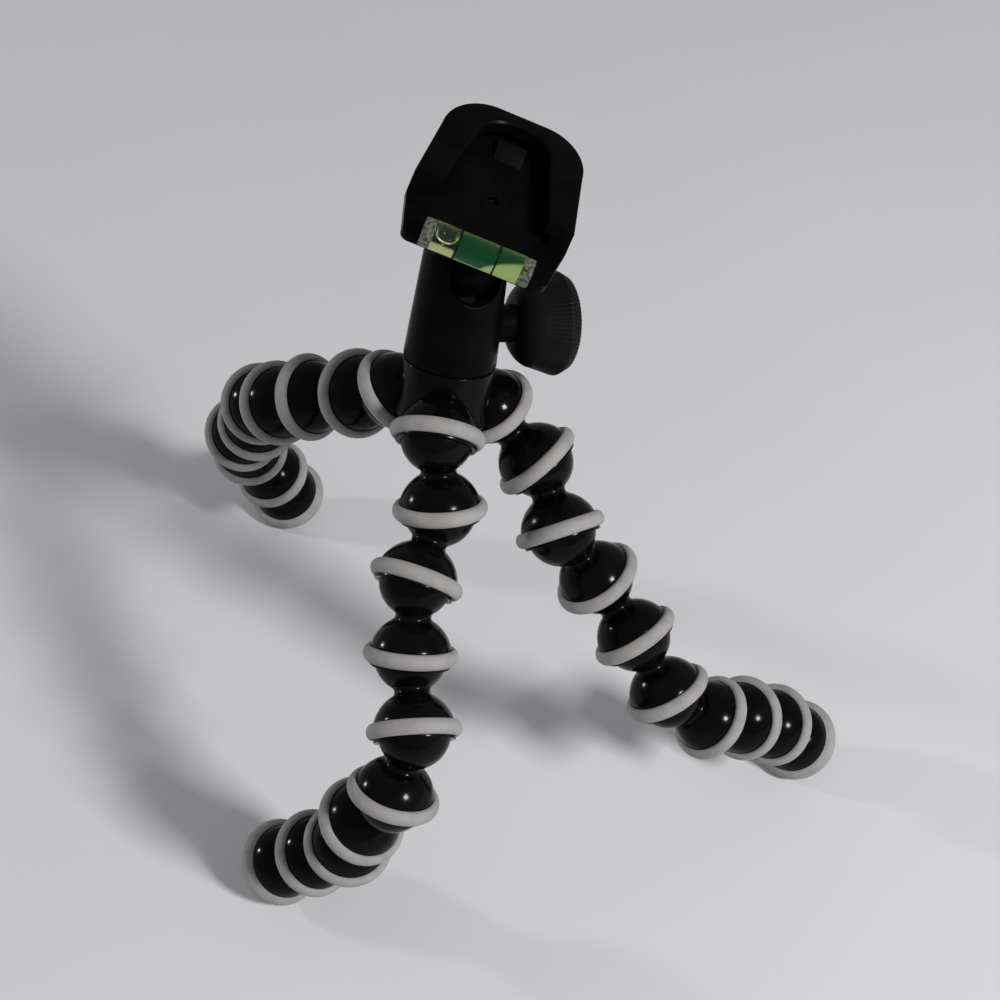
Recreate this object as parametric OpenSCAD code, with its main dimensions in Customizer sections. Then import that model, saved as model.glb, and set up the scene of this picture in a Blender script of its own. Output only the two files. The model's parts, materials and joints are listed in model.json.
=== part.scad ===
// Flexible leg tripod: three legs of ball and socket pieces under a ball head with a quick release clamp.
// +Z is up, the feet stand on Z = 0 and the origin is under the middle of the whole stand.

/* [Leg pieces] */
// Distance between the joint centres of a leg
leg_pitch = 21; // [20.5:0.25:23]
// Diameter of a joint ball
ball_d = 20.4; // [20:0.1:21]
// Gap all round between a joint ball and its socket
ball_gap = 0.15; // [0.1:0.05:0.25]
// Wall of a socket round its ball
socket_wall = 1.2; // [1:0.05:1.5]
// Diameter of the neck between a ball and the next socket
neck_d = 10; // [9:0.25:10.5]
// Half angle of a socket's mouth, seen from the ball centre
mouth_angle = 76; // [75:0.5:79]
// Flat on the inner end of a joint ball, below its crown
ball_flat = 1.6; // [1:0.1:2.5]

/* [Grip rings] */
// Outer diameter of a grip ring
ring_d = 26.6; // [26:0.2:28]
// Width of a grip ring along the leg
ring_w = 4.4; // [3.8:0.2:4.8]
// Depth of the groove that holds a grip ring
ring_seat = 0.5; // [0.3:0.1:0.6]
// Radius of a grip ring's rounded outside
ring_round = 2.5; // [2.5:0.1:4]
// How far a grip ring sits behind the joint centre
ring_lift = 0.6; // [0.3:0.1:0.8]
// Gap between a rubber piece and its seat
rubber_fit = 0.05; // [0.02:0.01:0.1]

/* [Feet] */
// Distance from a foot's ball to the middle of its dome
foot_pitch = 20; // [19:0.25:22]
// Outer diameter of a foot pad
pad_d = 27; // [26:0.2:28]
// Radius of a foot pad's rounded rim
pad_round = 3.2; // [2.8:0.1:3.6]
// How far the pad's rim sits past the middle of the dome
pad_drop = 1; // [0.6:0.1:1.4]
// Diameter of the spigot that holds a foot pad
spigot_d = 14; // [10:0.5:16]
// Length of the spigot that holds a foot pad
spigot_h = 2; // [1.5:0.1:2.4]

/* [Hub] */
// Distance of the leg sockets from the hub's axis
hub_r = 16; // [15.8:0.1:18]
// Angle between a leg socket and the hub's axis
hub_splay = 40; // [36:1:46]
// Diameter of the hub's collar
hub_d = 26; // [25:0.2:27]
// Height of the hub's collar above the leg sockets
hub_top = 11.3; // [11.2:0.1:13]
// Depth of the hub's underside below the leg sockets
hub_floor = 5; // [4:0.25:6]

/* [Ball head] */
// Diameter of the pan base
pan_d = 26; // [25:0.2:26.4]
// Height of the pan base
pan_h = 5.2; // [4:0.2:8]
// Thickness of the pan washer
washer_h = 0.4; // [0.3:0.1:0.8]
// Diameter of the housing at its foot
housing_foot_d = 26.2; // [25.4:0.2:27.4]
// Diameter of the housing at its rim
housing_rim_d = 23.2; // [22.8:0.2:25]
// Height of the ball centre above the housing's foot
head_ball_h = 28; // [27.5:0.5:32]
// Diameter of the head's ball
head_ball_d = 18; // [17.6:0.1:18.2]
// Height of the housing's rim above the ball centre
rim_h = 4.6; // [4:0.1:4.8]
// Height of the retaining ring
retainer_h = 3; // [2.4:0.1:3.4]
// Width of the drop slot in the housing's rim
slot_w = 15; // [12:0.2:15.4]
// Diameter of the stem under the clamp
stem_d = 7; // [6.5:0.25:7.5]
// Diameter of the pan screw's shank
pan_screw_d = 6.2; // [5:0.1:7]
// Running gap between turning pieces
run_gap = 0.1; // [0.05:0.01:0.2]

/* [Lock knob] */
// Diameter of the lock knob
knob_d = 28.5; // [26:0.5:29]
// Distance from the head's ball down to the knob's axis
knob_drop = 17.5; // [16.75:0.25:17.75]
// Diameter of the boss that carries the knob
boss_d = 10.8; // [10:0.2:12]
// Reach of the boss from the housing's axis
boss_reach = 16.4; // [15.6:0.2:18]
// Diameter of the lock screw
lock_screw_d = 6; // [5:0.1:6.4]
// Length of the knob's tapered back
knob_back = 9.5; // [8:0.25:11]
// How far the knob's tapered back swells past a straight cone
knob_swell = 0.8; // [0.4:0.1:1.2]
// Width of the knob's fluted band
knob_band = 5; // [4:0.25:7]
// Number of flutes round the knob
knob_flutes = 72; // [48:1:80]

/* [Clamp] */
// Width of the clamp at its shoulders
clamp_w = 43.5; // [43:0.5:48]
// Width of the clamp at its back
clamp_back_w = 39; // [38:0.5:43]
// Width of the clamp at its open end
clamp_nose_w = 37.5; // [36.5:0.5:41]
// Length of the clamp from its open end to its back
clamp_l = 48; // [47.5:0.5:56]
// Distance from the stem to the clamp's open end
clamp_front = 22.5; // [21:0.5:24]
// Distance from the stem to the clamp's shoulders
clamp_shoulder = 8; // [4:0.5:12]
// Height of the clamp's underside above the ball centre
clamp_z = 22.5; // [21:0.25:26]
// Thickness of the clamp's floor
clamp_floor = 3; // [2.6:0.1:4]
// Height of the clamp's rails above its floor
rail_h = 7; // [6:0.25:8]
// Width of the channel between the rails' lips, at their front end
channel_w = 29; // [27:0.25:30]
// Width of the channel between the rails' lips, at its inner end
channel_back_w = 21; // [19:0.25:24]
// Thickness of the wall behind the channel
back_wall = 5.6; // [5:0.2:6.4]
// How far the rails' lips overhang the channel
lip_over = 2; // [1.5:0.1:2.5]
// Height of the undercut below the lips
undercut_h = 3.4; // [3:0.1:4]
// Distance from the stem to the front end of the full rails
rail_end = 8; // [6:0.5:12]
// Length of the slope at the front end of the full rails
rail_slope = 4; // [2:0.5:6]
// Height of the side walls ahead of the rails
side_h = 2.4; // [1.5:0.1:4]
// Radius of the clamp's back corners
clamp_round = 13; // [11:0.5:15]
// Radius of the clamp's corners at its open end
nose_round = 2; // [1:0.25:2.5]
// Width of the latch tab
latch_w = 8; // [7:0.25:9]
// Length of the latch tab
latch_l = 6; // [5:0.25:6.5]
// Distance from the stem to the middle of the latch tab
latch_y = 17.5; // [15:0.25:17.75]
// How far the latch tab stands above the clamp's floor
latch_up = 2.2; // [1.8:0.1:2.6]

/* [Level] */
// Outer diameter of the level's tube
vial_d = 7.6; // [7:0.1:8]
// Length of the level's tube
vial_l = 29.5; // [27:0.5:31]
// Wall of the level's tube
vial_wall = 0.8; // [0.6:0.1:1]
// Length of the clear plug at each end of the tube
vial_plug = 3; // [2:0.25:4]
// Thickness of the shelf under the level
shelf_t = 1.4; // [1.2:0.1:2]
// How far the level stands out past the clamp's open end
vial_over = 2.9; // [2:0.1:3.4]
// Gap between the level and the rails beside it
vial_side = 0.15; // [0.1:0.05:0.3]

/* [Pose] */
// Lean of the hub away from upright
hub_lean = 20; // [14:1:26]
// Compass heading of the hub's lean
hub_heading = 65; // [45:5:85]
// Turn of the leg sockets round the hub's axis
hub_turn = 202; // [196:1:208]
// Turn of the head round the hub's axis, measured to the knob
head_turn = -45; // [-60:1:-30]
// Tilt of the clamp's stem from the hub's axis
stem_tilt = 28; // [0:1:34]
// Turn of the clamp round its stem
clamp_turn = 62; // [40:1:70]

/* [Hidden] */
$fn = 64;

LEG_NAMES = ["front", "right", "back"];
MIDDLE_PIECES = 8;
LEG_NODES = [for (leg = LEG_NAMES) for (n = [1:MIDDLE_PIECES]) str(leg, "_leg_", n)];
FOOT_NODES = [for (leg = LEG_NAMES) str(leg, "_foot")];
PAD_NODES = [for (leg = LEG_NAMES) str(leg, "_pad")];
HUB_NODES = ["hub_body", "hub_rings", "pan_base", "pan_washer", "pan_screw"];
HEAD_NODES = ["housing", "pressure_cup", "retainer_ring", "lock_knob", "lock_screw", "knob_cap"];
CLAMP_NODES = ["head_ball", "clamp_body", "clamp_bolt", "latch", "latch_spring", "latch_nut"];
LEVEL_NODES = ["vial_tube", "vial_liquid", "vial_plugs"];

BLACK = [0.03, 0.03, 0.03];
GREY = [0.6, 0.6, 0.58];
STEEL = [0.55, 0.55, 0.56];
CLEAR = [0.85, 0.95, 0.85, 0.35];
GREEN = [0.35, 0.7, 0.2, 0.6];

// Drop below level and compass heading of each piece, from the hub out to the foot
LEG_POSE = [
    [[60, -85], [30, -110], [50, -95], [35, -85], [60, -125], [60, 160], [70, 135], [50, 150], [50, 150]],
    [[40, -30], [40, -65], [55, -15], [45, -40], [50, -40], [45, 10], [40, 40], [45, 35], [55, 35]],
    [[35, 135], [30, 150], [40, 135], [35, 120], [60, 110], [50, 125], [60, 90], [65, 45], [65, 70]]
];
// The piece of each leg whose drop is settled so that its foot meets the floor
SETTLED_PIECE = 3;

// Sizes of a leg piece
ball_r = ball_d / 2;
neck_r = neck_d / 2;
cavity_r = ball_r + ball_gap;
bell_r = cavity_r + socket_wall;
lip_h = cavity_r * cos(mouth_angle);
seat_r = bell_r - ring_seat;
ring_r = ring_d / 2;
ring_core_r = ring_r - ring_round;
pad_r = pad_d / 2;
rim_r = pad_r - pad_round;
// How deep the neck's fillet bites into the ball and the bell
fillet_bite = 0.12;
beyond = 4 * leg_pitch;
// How far a cut runs past the face that it opens
cut = 1;

// Radius of the fillet that blends a ball into a bell a given distance away and leaves the neck's radius
function fillet_radius(pitch) =
    let (drift = (ball_r - bell_r) / pitch)
    let (middle = (pitch * pitch - ball_r * ball_r + bell_r * bell_r) / (2 * pitch))
    let (slope = 2 * (ball_r - neck_r + middle * drift))
    let (span = neck_r * neck_r + middle * middle - ball_r * ball_r)
    2 * span / (slope + sqrt(slope * slope - 4 * drift * drift * span));

// Centre of that fillet, as distance from the axis and from the ball's centre
function fillet_centre(pitch) =
    let (round_r = fillet_radius(pitch))
    let (reach = neck_r + round_r)
    [reach, sqrt((ball_r + round_r) * (ball_r + round_r) - reach * reach)];

// Unit vector for a drop below level and a compass heading
function toward(drop, heading) = [cos(drop) * cos(heading), cos(drop) * sin(heading), -sin(drop)];

// Hub frame: its axis leans by hub_lean towards hub_heading
function hub_to_level(v) =
    let (x = v[0] * cos(hub_lean) + v[2] * sin(hub_lean))
    [x * cos(hub_heading) - v[1] * sin(hub_heading),
     x * sin(hub_heading) + v[1] * cos(hub_heading),
     v[2] * cos(hub_lean) - v[0] * sin(hub_lean)];
function socket_turn(leg) = hub_turn + 120 * leg;
function socket_offset(leg) = hub_to_level([hub_r * cos(socket_turn(leg)), hub_r * sin(socket_turn(leg)), 0]);
function socket_axis(leg) = hub_to_level([
    sin(hub_splay) * cos(socket_turn(leg)),
    sin(hub_splay) * sin(socket_turn(leg)),
    -cos(hub_splay)
]);

function total(list, last) = last < 0 ? 0 : list[last] + total(list, last - 1);
function sum_points(list, last) = last < 0 ? [0, 0, 0] : list[last] + sum_points(list, last - 1);

// Height that a leg spans from its hub socket to the floor, as posed by LEG_POSE
function foot_span(drop) = (foot_pitch + pad_drop) * sin(drop) + rim_r * cos(drop) + pad_round;
function leg_span(leg) =
    total([for (n = [0:MIDDLE_PIECES - 1]) leg_pitch * sin(LEG_POSE[leg][n][0])], MIDDLE_PIECES - 1)
    + foot_span(LEG_POSE[leg][MIDDLE_PIECES][0]);
hub_z = total([for (leg = [0:2]) leg_span(leg) - socket_offset(leg)[2]], 2) / 3;
function settled_drop(leg) =
    let (short = hub_z + socket_offset(leg)[2] - leg_span(leg))
    asin(sin(LEG_POSE[leg][SETTLED_PIECE][0]) + short / leg_pitch);
function piece_axis(leg, n) =
    toward(n == SETTLED_PIECE ? settled_drop(leg) : LEG_POSE[leg][n][0], LEG_POSE[leg][n][1]);
LEG_AXES = [for (leg = [0:2]) [for (n = [0:MIDDLE_PIECES]) piece_axis(leg, n)]];

// Joint centres with the hub over the origin, then the shift that centres the stand
function loose_joint(leg, n) =
    socket_offset(leg) + leg_pitch * sum_points(LEG_AXES[leg], n - 1) + [0, 0, hub_z];
function ring_reach(axis, side) =
    let (along = abs(axis[side]))
    let (across = sqrt(1 - along * along))
    let (edge = asin(min(1, ring_w / 2 / ring_round)))
    let (angle = min(edge, atan2(along, across)))
    (ring_core_r + ring_round * cos(angle)) * across + ring_round * sin(angle) * along;
function pad_reach(axis, side) = rim_r * sqrt(1 - axis[side] * axis[side]) + pad_round;
function ring_middle(leg, n) = loose_joint(leg, n + 1) - ring_lift * LEG_AXES[leg][n];
function pad_middle(leg) =
    loose_joint(leg, MIDDLE_PIECES) + (foot_pitch + pad_drop) * LEG_AXES[leg][MIDDLE_PIECES];
function far_side(side, sign) = max([
    for (leg = [0:2]) each [
        for (n = [0:MIDDLE_PIECES - 1]) sign * ring_middle(leg, n)[side] + ring_reach(LEG_AXES[leg][n], side),
        sign * pad_middle(leg)[side] + pad_reach(LEG_AXES[leg][MIDDLE_PIECES], side)
    ]
]);
shift = [for (side = [0, 1]) (far_side(side, -1) - far_side(side, 1)) / 2];
hub_at = [shift[0], shift[1], hub_z];
function joint_at(leg, n) = loose_joint(leg, n) + [shift[0], shift[1], 0];

// Heights along the hub's axis
pan_top = hub_top + pan_h;
housing_z = pan_top + washer_h + run_gap;
head_ball_z = housing_z + head_ball_h;
housing_h = head_ball_h + rim_h;
knob_h = head_ball_h - knob_drop;
knob_z = housing_z + knob_h;

// Sizes of the ball head
head_ball_r = head_ball_d / 2;
seat_gap = 0.12;
head_bore_r = head_ball_r + seat_gap;
housing_floor = 4;
pan_screw_r = pan_screw_d / 2;
pan_head_rim = 2.2;
pan_head_r = pan_screw_r + pan_head_rim;
pan_head_h = 2;
pan_skin = 2;
pan_bite = hub_top + hub_floor - pan_skin;
washer_inset = 1;
retainer_wall = 1;
retainer_r = head_bore_r + retainer_wall;
retainer_fit = 0.03;
lock_screw_r = lock_screw_d / 2;
lock_start = 5.3;
lock_tip_r = 1;
knob_gap = 0.3;
knob_start = boss_reach + knob_gap;
knob_neck_rim = 1;
knob_neck_r = boss_d / 2 + knob_neck_rim;
knob_edge = 1;
knob_end = knob_start + knob_back + knob_band + knob_edge;
knob_r = knob_d / 2;
cap_inset = 2.6;
cap_h = 1.2;
cup_lift = 0.5;
slot_skin = 1;

// Sizes of the clamp, measured from the ball centre along the stem
floor_top = clamp_z + clamp_floor;
clamp_back = clamp_l - clamp_front;
flange_rim = 4;
flange_r = stem_d / 2 + flange_rim;
flange_h = 1.6;
bolt_r = 2.2;
bolt_head_r = 4;
bolt_head_h = bolt_head_r - bolt_r;
bolt_l = 9;
bolt_fit = 0.05;
channel_round = 9;
latch_fit = 0.15;
guide_h = 6;
guide_wall = 1.6;
post_r = 1.2;
spring_r = 2;
nut_h = 1;
latch_nose = 0.3;
// Lower face of the latch tab, floor of its guide and the nut under the guide
latch_low = clamp_z + clamp_floor / 2;
latch_foot = clamp_z - guide_h + guide_wall;
nut_z = clamp_z - guide_h - nut_h - run_gap;
vial_r = vial_d / 2;
vial_seat = 0.05;
vial_y = vial_r - vial_over - clamp_front;
vial_z = clamp_z + shelf_t + vial_seat + vial_r;
liquid_fit = 0.03;
liquid_r = vial_r - vial_wall - liquid_fit;
bubble_r = 0.7 * liquid_r;

// Turns the part's +Z to a direction
module aim(axis) {
    rotate([0, acos(axis[2]), atan2(axis[1], axis[0])]) children();
}

module on_leg(leg, n) {
    translate(joint_at(leg, n)) aim(LEG_AXES[leg][n]) children();
}

module on_hub() {
    translate(hub_at) rotate([0, hub_lean, hub_heading]) children();
}

module on_socket(leg) {
    rotate([0, 0, socket_turn(leg)]) translate([hub_r, 0, 0]) rotate([0, 180 - hub_splay, 0]) children();
}

// The head's own turn: +X points along the knob and -Y along the drop slot, where the stem tilts to
module on_head() {
    on_hub() rotate([0, 0, head_turn]) children();
}

module on_clamp() {
    on_head() translate([0, 0, head_ball_z]) rotate([0, stem_tilt, -90])
        rotate([0, 0, clamp_turn]) children();
}

// Keeps the half of a profile that is revolved
module right_half() {
    intersection() {
        children();
        translate([0, -beyond]) square([beyond, 2 * beyond]);
    }
}

// Ball, filleted neck and solid bell, as a profile along +Y
module ball_and_bell(pitch) {
    round_r = fillet_radius(pitch);
    centre = fillet_centre(pitch);
    ball_share = ball_r / (ball_r + round_r);
    bell_share = bell_r / (bell_r + round_r);
    low = centre[1] * ball_share;
    high = pitch - (pitch - centre[1]) * bell_share;
    intersection() {
        circle(r = ball_r);
        translate([-beyond, ball_flat - ball_r]) square([2 * beyond, beyond]);
    }
    translate([0, pitch]) circle(r = bell_r);
    difference() {
        translate([0, low]) square([centre[0], high - low]);
        translate(centre) circle(r = round_r + fillet_bite);
    }
}

// What a socket's bell loses: the ball's room, all past the lip and the ring's groove
module socket_cuts() {
    circle(r = cavity_r);
    translate([-beyond, lip_h]) square([2 * beyond, beyond]);
    translate([seat_r, -ring_lift - ring_w / 2 - rubber_fit]) square([beyond, ring_w + 2 * rubber_fit]);
}

module leg_body() {
    rotate_extrude() right_half() difference() {
        ball_and_bell(leg_pitch);
        translate([0, leg_pitch]) socket_cuts();
    }
}

module grip_ring() {
    rotate_extrude() translate([0, -ring_lift]) intersection() {
        translate([seat_r + rubber_fit, -ring_w / 2]) square([ring_r, ring_w]);
        translate([ring_core_r, 0]) circle(r = ring_round);
    }
}

module leg_piece(leg, n) {
    on_leg(leg, n) {
        color(BLACK) leg_body();
        color(GREY) translate([0, 0, leg_pitch]) grip_ring();
    }
}

module foot(leg) {
    color(BLACK) on_leg(leg, MIDDLE_PIECES) rotate_extrude() right_half() {
        difference() {
            ball_and_bell(foot_pitch);
            translate([-beyond, foot_pitch]) square([2 * beyond, beyond]);
        }
        translate([0, foot_pitch - spigot_h]) square([spigot_d / 2, 2 * spigot_h]);
    }
}

module pad(leg) {
    pad_flat = pad_round - rubber_fit * 3;
    color(GREY) on_leg(leg, MIDDLE_PIECES) translate([0, 0, foot_pitch]) rotate_extrude() right_half()
    difference() {
        union() {
            translate([rim_r, pad_drop]) circle(r = pad_round);
            square([rim_r, pad_drop + pad_flat]);
        }
        intersection() {
            circle(r = bell_r + rubber_fit);
            translate([-beyond, rubber_fit - beyond]) square([2 * beyond, beyond]);
        }
        square([spigot_d / 2 + rubber_fit, spigot_h + rubber_fit]);
    }
}

module hub_body() {
    ring_room = 0.5;
    hub_side = hub_d / 2;
    shoulder = 1;
    color(BLACK) on_hub() difference() {
        union() {
            difference() {
                rotate_extrude() polygon([
                    [0, -hub_floor], [hub_r - neck_r, -hub_floor], [hub_side + shoulder, shoulder],
                    [hub_side, hub_top / 2], [hub_side, hub_top], [0, hub_top]
                ]);
                for (leg = [0:2]) on_socket(leg) translate([0, 0, -ring_lift - ring_w / 2 - ring_room])
                    cylinder(r = ring_r + ring_room, h = beyond);
            }
            for (leg = [0:2]) on_socket(leg) rotate_extrude() right_half() difference() {
                circle(r = bell_r);
                socket_cuts();
            }
        }
        for (leg = [0:2]) on_socket(leg) sphere(r = cavity_r);
        translate([0, 0, hub_top - pan_bite]) cylinder(r = pan_screw_r, h = pan_bite + cut);
    }
}

module hub_rings() {
    color(GREY) on_hub() for (leg = [0:2]) on_socket(leg) grip_ring();
}

module pan_base() {
    color(BLACK) on_hub() translate([0, 0, hub_top]) difference() {
        cylinder(d = pan_d, h = pan_h);
        translate([0, 0, -cut]) cylinder(r = pan_screw_r, h = pan_h + 2 * cut);
    }
}

module pan_washer() {
    color(STEEL) on_hub() translate([0, 0, pan_top]) difference() {
        cylinder(d = pan_d - 2 * washer_inset, h = washer_h);
        translate([0, 0, -cut]) cylinder(r = pan_screw_r + run_gap, h = washer_h + 2 * cut);
    }
}

module pan_screw() {
    head_z = housing_z + housing_floor + run_gap;
    color(STEEL) on_hub() {
        translate([0, 0, hub_top - pan_bite]) cylinder(r = pan_screw_r, h = head_z - hub_top + pan_bite);
        translate([0, 0, head_z]) cylinder(r = pan_head_r, h = pan_head_h);
    }
}

// The room that the stem takes when it drops into the slot, open at the rim
module drop_slot() {
    translate([0, 0, head_ball_h]) {
        rotate([90, 0, 0]) cylinder(d = slot_w, h = beyond);
        translate([-slot_w / 2, -beyond, 0]) cube([slot_w, beyond, beyond]);
    }
}

module housing() {
    foot_r = housing_foot_d / 2;
    rim_out_r = housing_rim_d / 2;
    color(BLACK) on_head() translate([0, 0, housing_z]) difference() {
        union() {
            cylinder(r1 = foot_r, r2 = rim_out_r, h = housing_h);
            translate([0, 0, knob_h]) rotate([0, 90, 0]) cylinder(d = boss_d, h = boss_reach);
        }
        translate([0, 0, -cut]) cylinder(r = pan_screw_r + run_gap, h = housing_floor + 2 * cut);
        translate([0, 0, housing_floor]) cylinder(r = head_bore_r, h = housing_h);
        translate([0, 0, housing_h - retainer_h]) cylinder(r = retainer_r, h = housing_h);
        translate([0, 0, knob_h]) rotate([0, 90, 0]) cylinder(r = lock_screw_r + run_gap, h = beyond);
        drop_slot();
    }
}

module pressure_cup() {
    cup_z = knob_z + lock_screw_r + cup_lift;
    cup_top = head_ball_z - slot_w / 2 - slot_skin;
    color(STEEL) on_head() difference() {
        translate([0, 0, cup_z]) cylinder(r = head_bore_r - run_gap, h = cup_top - cup_z);
        translate([0, 0, head_ball_z]) sphere(r = head_bore_r);
    }
}

module retainer_ring() {
    color(BLACK) on_head() translate([0, 0, housing_z]) difference() {
        translate([0, 0, housing_h - retainer_h + retainer_fit])
            cylinder(r = retainer_r - retainer_fit, h = retainer_h - retainer_fit);
        translate([0, 0, head_ball_h]) sphere(r = head_bore_r);
        drop_slot();
    }
}

module on_knob() {
    on_head() translate([0, 0, knob_z]) rotate([0, 90, 0]) children();
}

module lock_screw() {
    color(STEEL) on_knob() {
        translate([0, 0, lock_start]) cylinder(r = lock_screw_r, h = knob_start + knob_back - lock_start);
        translate([0, 0, lock_start - lock_screw_r])
            cylinder(r1 = lock_tip_r, r2 = lock_screw_r, h = lock_screw_r);
    }
}

// Swollen cone of the knob's back, an arc from its neck to its rim
module knob_back_shape() {
    rim = knob_r - knob_edge;
    run = [rim - knob_neck_r, knob_back];
    chord = norm(run);
    round_r = chord * chord / (8 * knob_swell) + knob_swell / 2;
    middle = [knob_neck_r, 0] + run / 2 + (round_r - knob_swell) * [-run[1], run[0]] / chord;
    rotate_extrude() intersection() {
        square([rim, knob_back]);
        translate(middle) circle(r = round_r);
    }
}

module lock_knob() {
    flute_r = 0.35;
    color(BLACK) on_knob() difference() {
        union() {
            translate([0, 0, knob_start]) knob_back_shape();
            translate([0, 0, knob_start + knob_back]) linear_extrude(knob_band) difference() {
                circle(r = knob_r);
                for (n = [0:knob_flutes - 1]) rotate(360 * n / knob_flutes)
                    translate([knob_r, 0]) circle(r = flute_r, $fn = 16);
            }
            translate([0, 0, knob_start + knob_back + knob_band])
                cylinder(r1 = knob_r - knob_edge / 2, r2 = knob_r - 1.5 * knob_edge, h = knob_edge);
        }
        translate([0, 0, knob_start - cut]) cylinder(r = lock_screw_r, h = knob_back + cut);
        translate([0, 0, knob_end - cap_h]) cylinder(r = knob_r - cap_inset, h = cap_h + cut);
    }
}

module knob_cap() {
    color(BLACK) on_knob() translate([0, 0, knob_end - cap_h])
        cylinder(r = knob_r - cap_inset - rubber_fit, h = cap_h);
}

module head_ball() {
    color(BLACK) on_clamp() difference() {
        union() {
            sphere(r = head_ball_r);
            cylinder(d = stem_d, h = clamp_z);
            translate([0, 0, clamp_z - flange_h]) cylinder(r = flange_r, h = flange_h);
        }
        translate([0, 0, floor_top - bolt_l]) cylinder(r = bolt_r + bolt_fit, h = bolt_l);
    }
}

// Points of a quarter turn of an outline's corner
function corner(x, y, r, start) = [for (a = [start:6:start + 90]) [x + r * cos(a), y + r * sin(a)]];

// Points of a round end at y = end, from its right side to its left
function round_end(half, end, r) = concat(
    corner(half - r, end - r, r, 0),
    corner(r - half, end - r, r, 90)
);

// Outline of the clamp: a round back, flanks that widen to the shoulders and a narrower open end
module clamp_outline() {
    half = clamp_w / 2;
    nose = clamp_nose_w / 2 - nose_round;
    polygon(concat(
        round_end(clamp_back_w / 2, clamp_back, clamp_round),
        [[-half, -clamp_shoulder]],
        corner(-nose, nose_round - clamp_front, nose_round, 180),
        corner(nose, nose_round - clamp_front, nose_round, 270),
        [[half, -clamp_shoulder]]
    ));
}

// Outline of the channel, some way outside its lips: it narrows from the rails' front end to a round end
module channel(outside) {
    half = channel_w / 2 + outside;
    polygon(concat(
        round_end(channel_back_w / 2 + outside, clamp_back - back_wall + outside, channel_round),
        [[-half, -rail_end], [-half, -2 * clamp_front], [half, -2 * clamp_front], [half, -rail_end]]
    ));
}

module clamp_body() {
    color(BLACK) on_clamp() difference() {
        union() {
            translate([0, 0, clamp_z]) linear_extrude(clamp_floor + rail_h) clamp_outline();
            translate([-latch_w / 2 - guide_wall, latch_y - latch_l / 2 - guide_wall, clamp_z - guide_h])
                cube([latch_w + 2 * guide_wall, latch_l + 2 * guide_wall, guide_h + cut]);
        }
        translate([0, 0, floor_top]) linear_extrude(undercut_h) channel(lip_over);
        translate([0, 0, floor_top]) linear_extrude(rail_h + cut) channel(0);
        translate([-clamp_w, 0, floor_top]) rotate([90, 0, 90]) linear_extrude(2 * clamp_w) polygon([
            [-beyond, side_h], [-rail_end - rail_slope, side_h], [-rail_end, rail_h],
            [-rail_end, beyond], [-beyond, beyond]
        ]);
        translate([-vial_l / 2 - vial_side, vial_y + vial_r + vial_side - beyond, clamp_z + shelf_t])
            cube([vial_l + 2 * vial_side, beyond, beyond]);
        translate([0, 0, clamp_z - cut]) cylinder(r = bolt_r + bolt_fit, h = clamp_floor + 2 * cut);
        translate([0, 0, floor_top - bolt_head_h])
            cylinder(r1 = bolt_r + bolt_fit, r2 = bolt_head_r + bolt_fit, h = bolt_head_h);
        translate([-latch_w / 2 - latch_fit, latch_y - latch_l / 2 - latch_fit, latch_foot])
            cube([latch_w + 2 * latch_fit, latch_l + 2 * latch_fit, floor_top - latch_foot + cut]);
        translate([0, latch_y, clamp_z - guide_h - cut]) cylinder(r = post_r + latch_fit, h = guide_h);
    }
}

module clamp_bolt() {
    color(STEEL) on_clamp() translate([0, 0, floor_top - bolt_l]) {
        cylinder(r = bolt_r, h = bolt_l);
        translate([0, 0, bolt_l - bolt_head_h]) cylinder(r1 = bolt_r, r2 = bolt_head_r, h = bolt_head_h);
    }
}

module latch() {
    color(STEEL) on_clamp() difference() {
        union() {
            translate([-latch_w / 2, latch_y - latch_l / 2, latch_low])
                cube([latch_w, latch_l, floor_top + latch_up - latch_low]);
            translate([0, latch_y, nut_z]) cylinder(r = post_r, h = latch_low - nut_z + cut);
        }
        translate([-latch_w, latch_y - latch_l / 2, floor_top]) rotate([atan2(latch_up, latch_l), 0, 0])
            translate([0, -beyond / 2, latch_nose]) cube([2 * latch_w, beyond, beyond]);
    }
}

module latch_spring() {
    color(STEEL) on_clamp() translate([0, latch_y, latch_foot + latch_fit]) difference() {
        cylinder(r = spring_r, h = latch_low - latch_foot - 2 * latch_fit);
        translate([0, 0, -cut]) cylinder(r = post_r + latch_fit, h = guide_h + clamp_floor);
    }
}

module latch_nut() {
    color(STEEL) on_clamp() translate([0, latch_y, nut_z]) difference() {
        cylinder(r = spring_r, h = nut_h);
        translate([0, 0, -cut]) cylinder(r = post_r, h = nut_h + 2 * cut);
    }
}

module on_vial() {
    on_clamp() translate([-vial_l / 2, vial_y, vial_z]) rotate([0, 90, 0]) children();
}

module vial_tube() {
    color(CLEAR) on_vial() difference() {
        cylinder(r = vial_r, h = vial_l);
        translate([0, 0, -cut]) cylinder(r = vial_r - vial_wall, h = vial_l + 2 * cut);
    }
}

module vial_plugs() {
    color(CLEAR) on_vial() for (end = [0, vial_l - vial_plug])
        translate([0, 0, end]) cylinder(r = liquid_r, h = vial_plug);
}

module vial_liquid() {
    color(GREEN) on_vial() difference() {
        translate([0, 0, vial_plug + liquid_fit])
            cylinder(r = liquid_r, h = vial_l - 2 * (vial_plug + liquid_fit));
        translate([-liquid_r, 0, vial_plug + 2 * bubble_r]) sphere(r = bubble_r);
    }
}

for (leg = [0:2]) {
    for (n = [0:MIDDLE_PIECES - 1])
        leg_piece(leg, n);
    foot(leg);
    pad(leg);
}
hub_body();
hub_rings();
pan_base();
pan_washer();
pan_screw();
housing();
pressure_cup();
retainer_ring();
lock_knob();
lock_screw();
knob_cap();
head_ball();
clamp_body();
clamp_bolt();
latch();
latch_spring();
latch_nut();
vial_tube();
vial_liquid();
vial_plugs();
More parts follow.
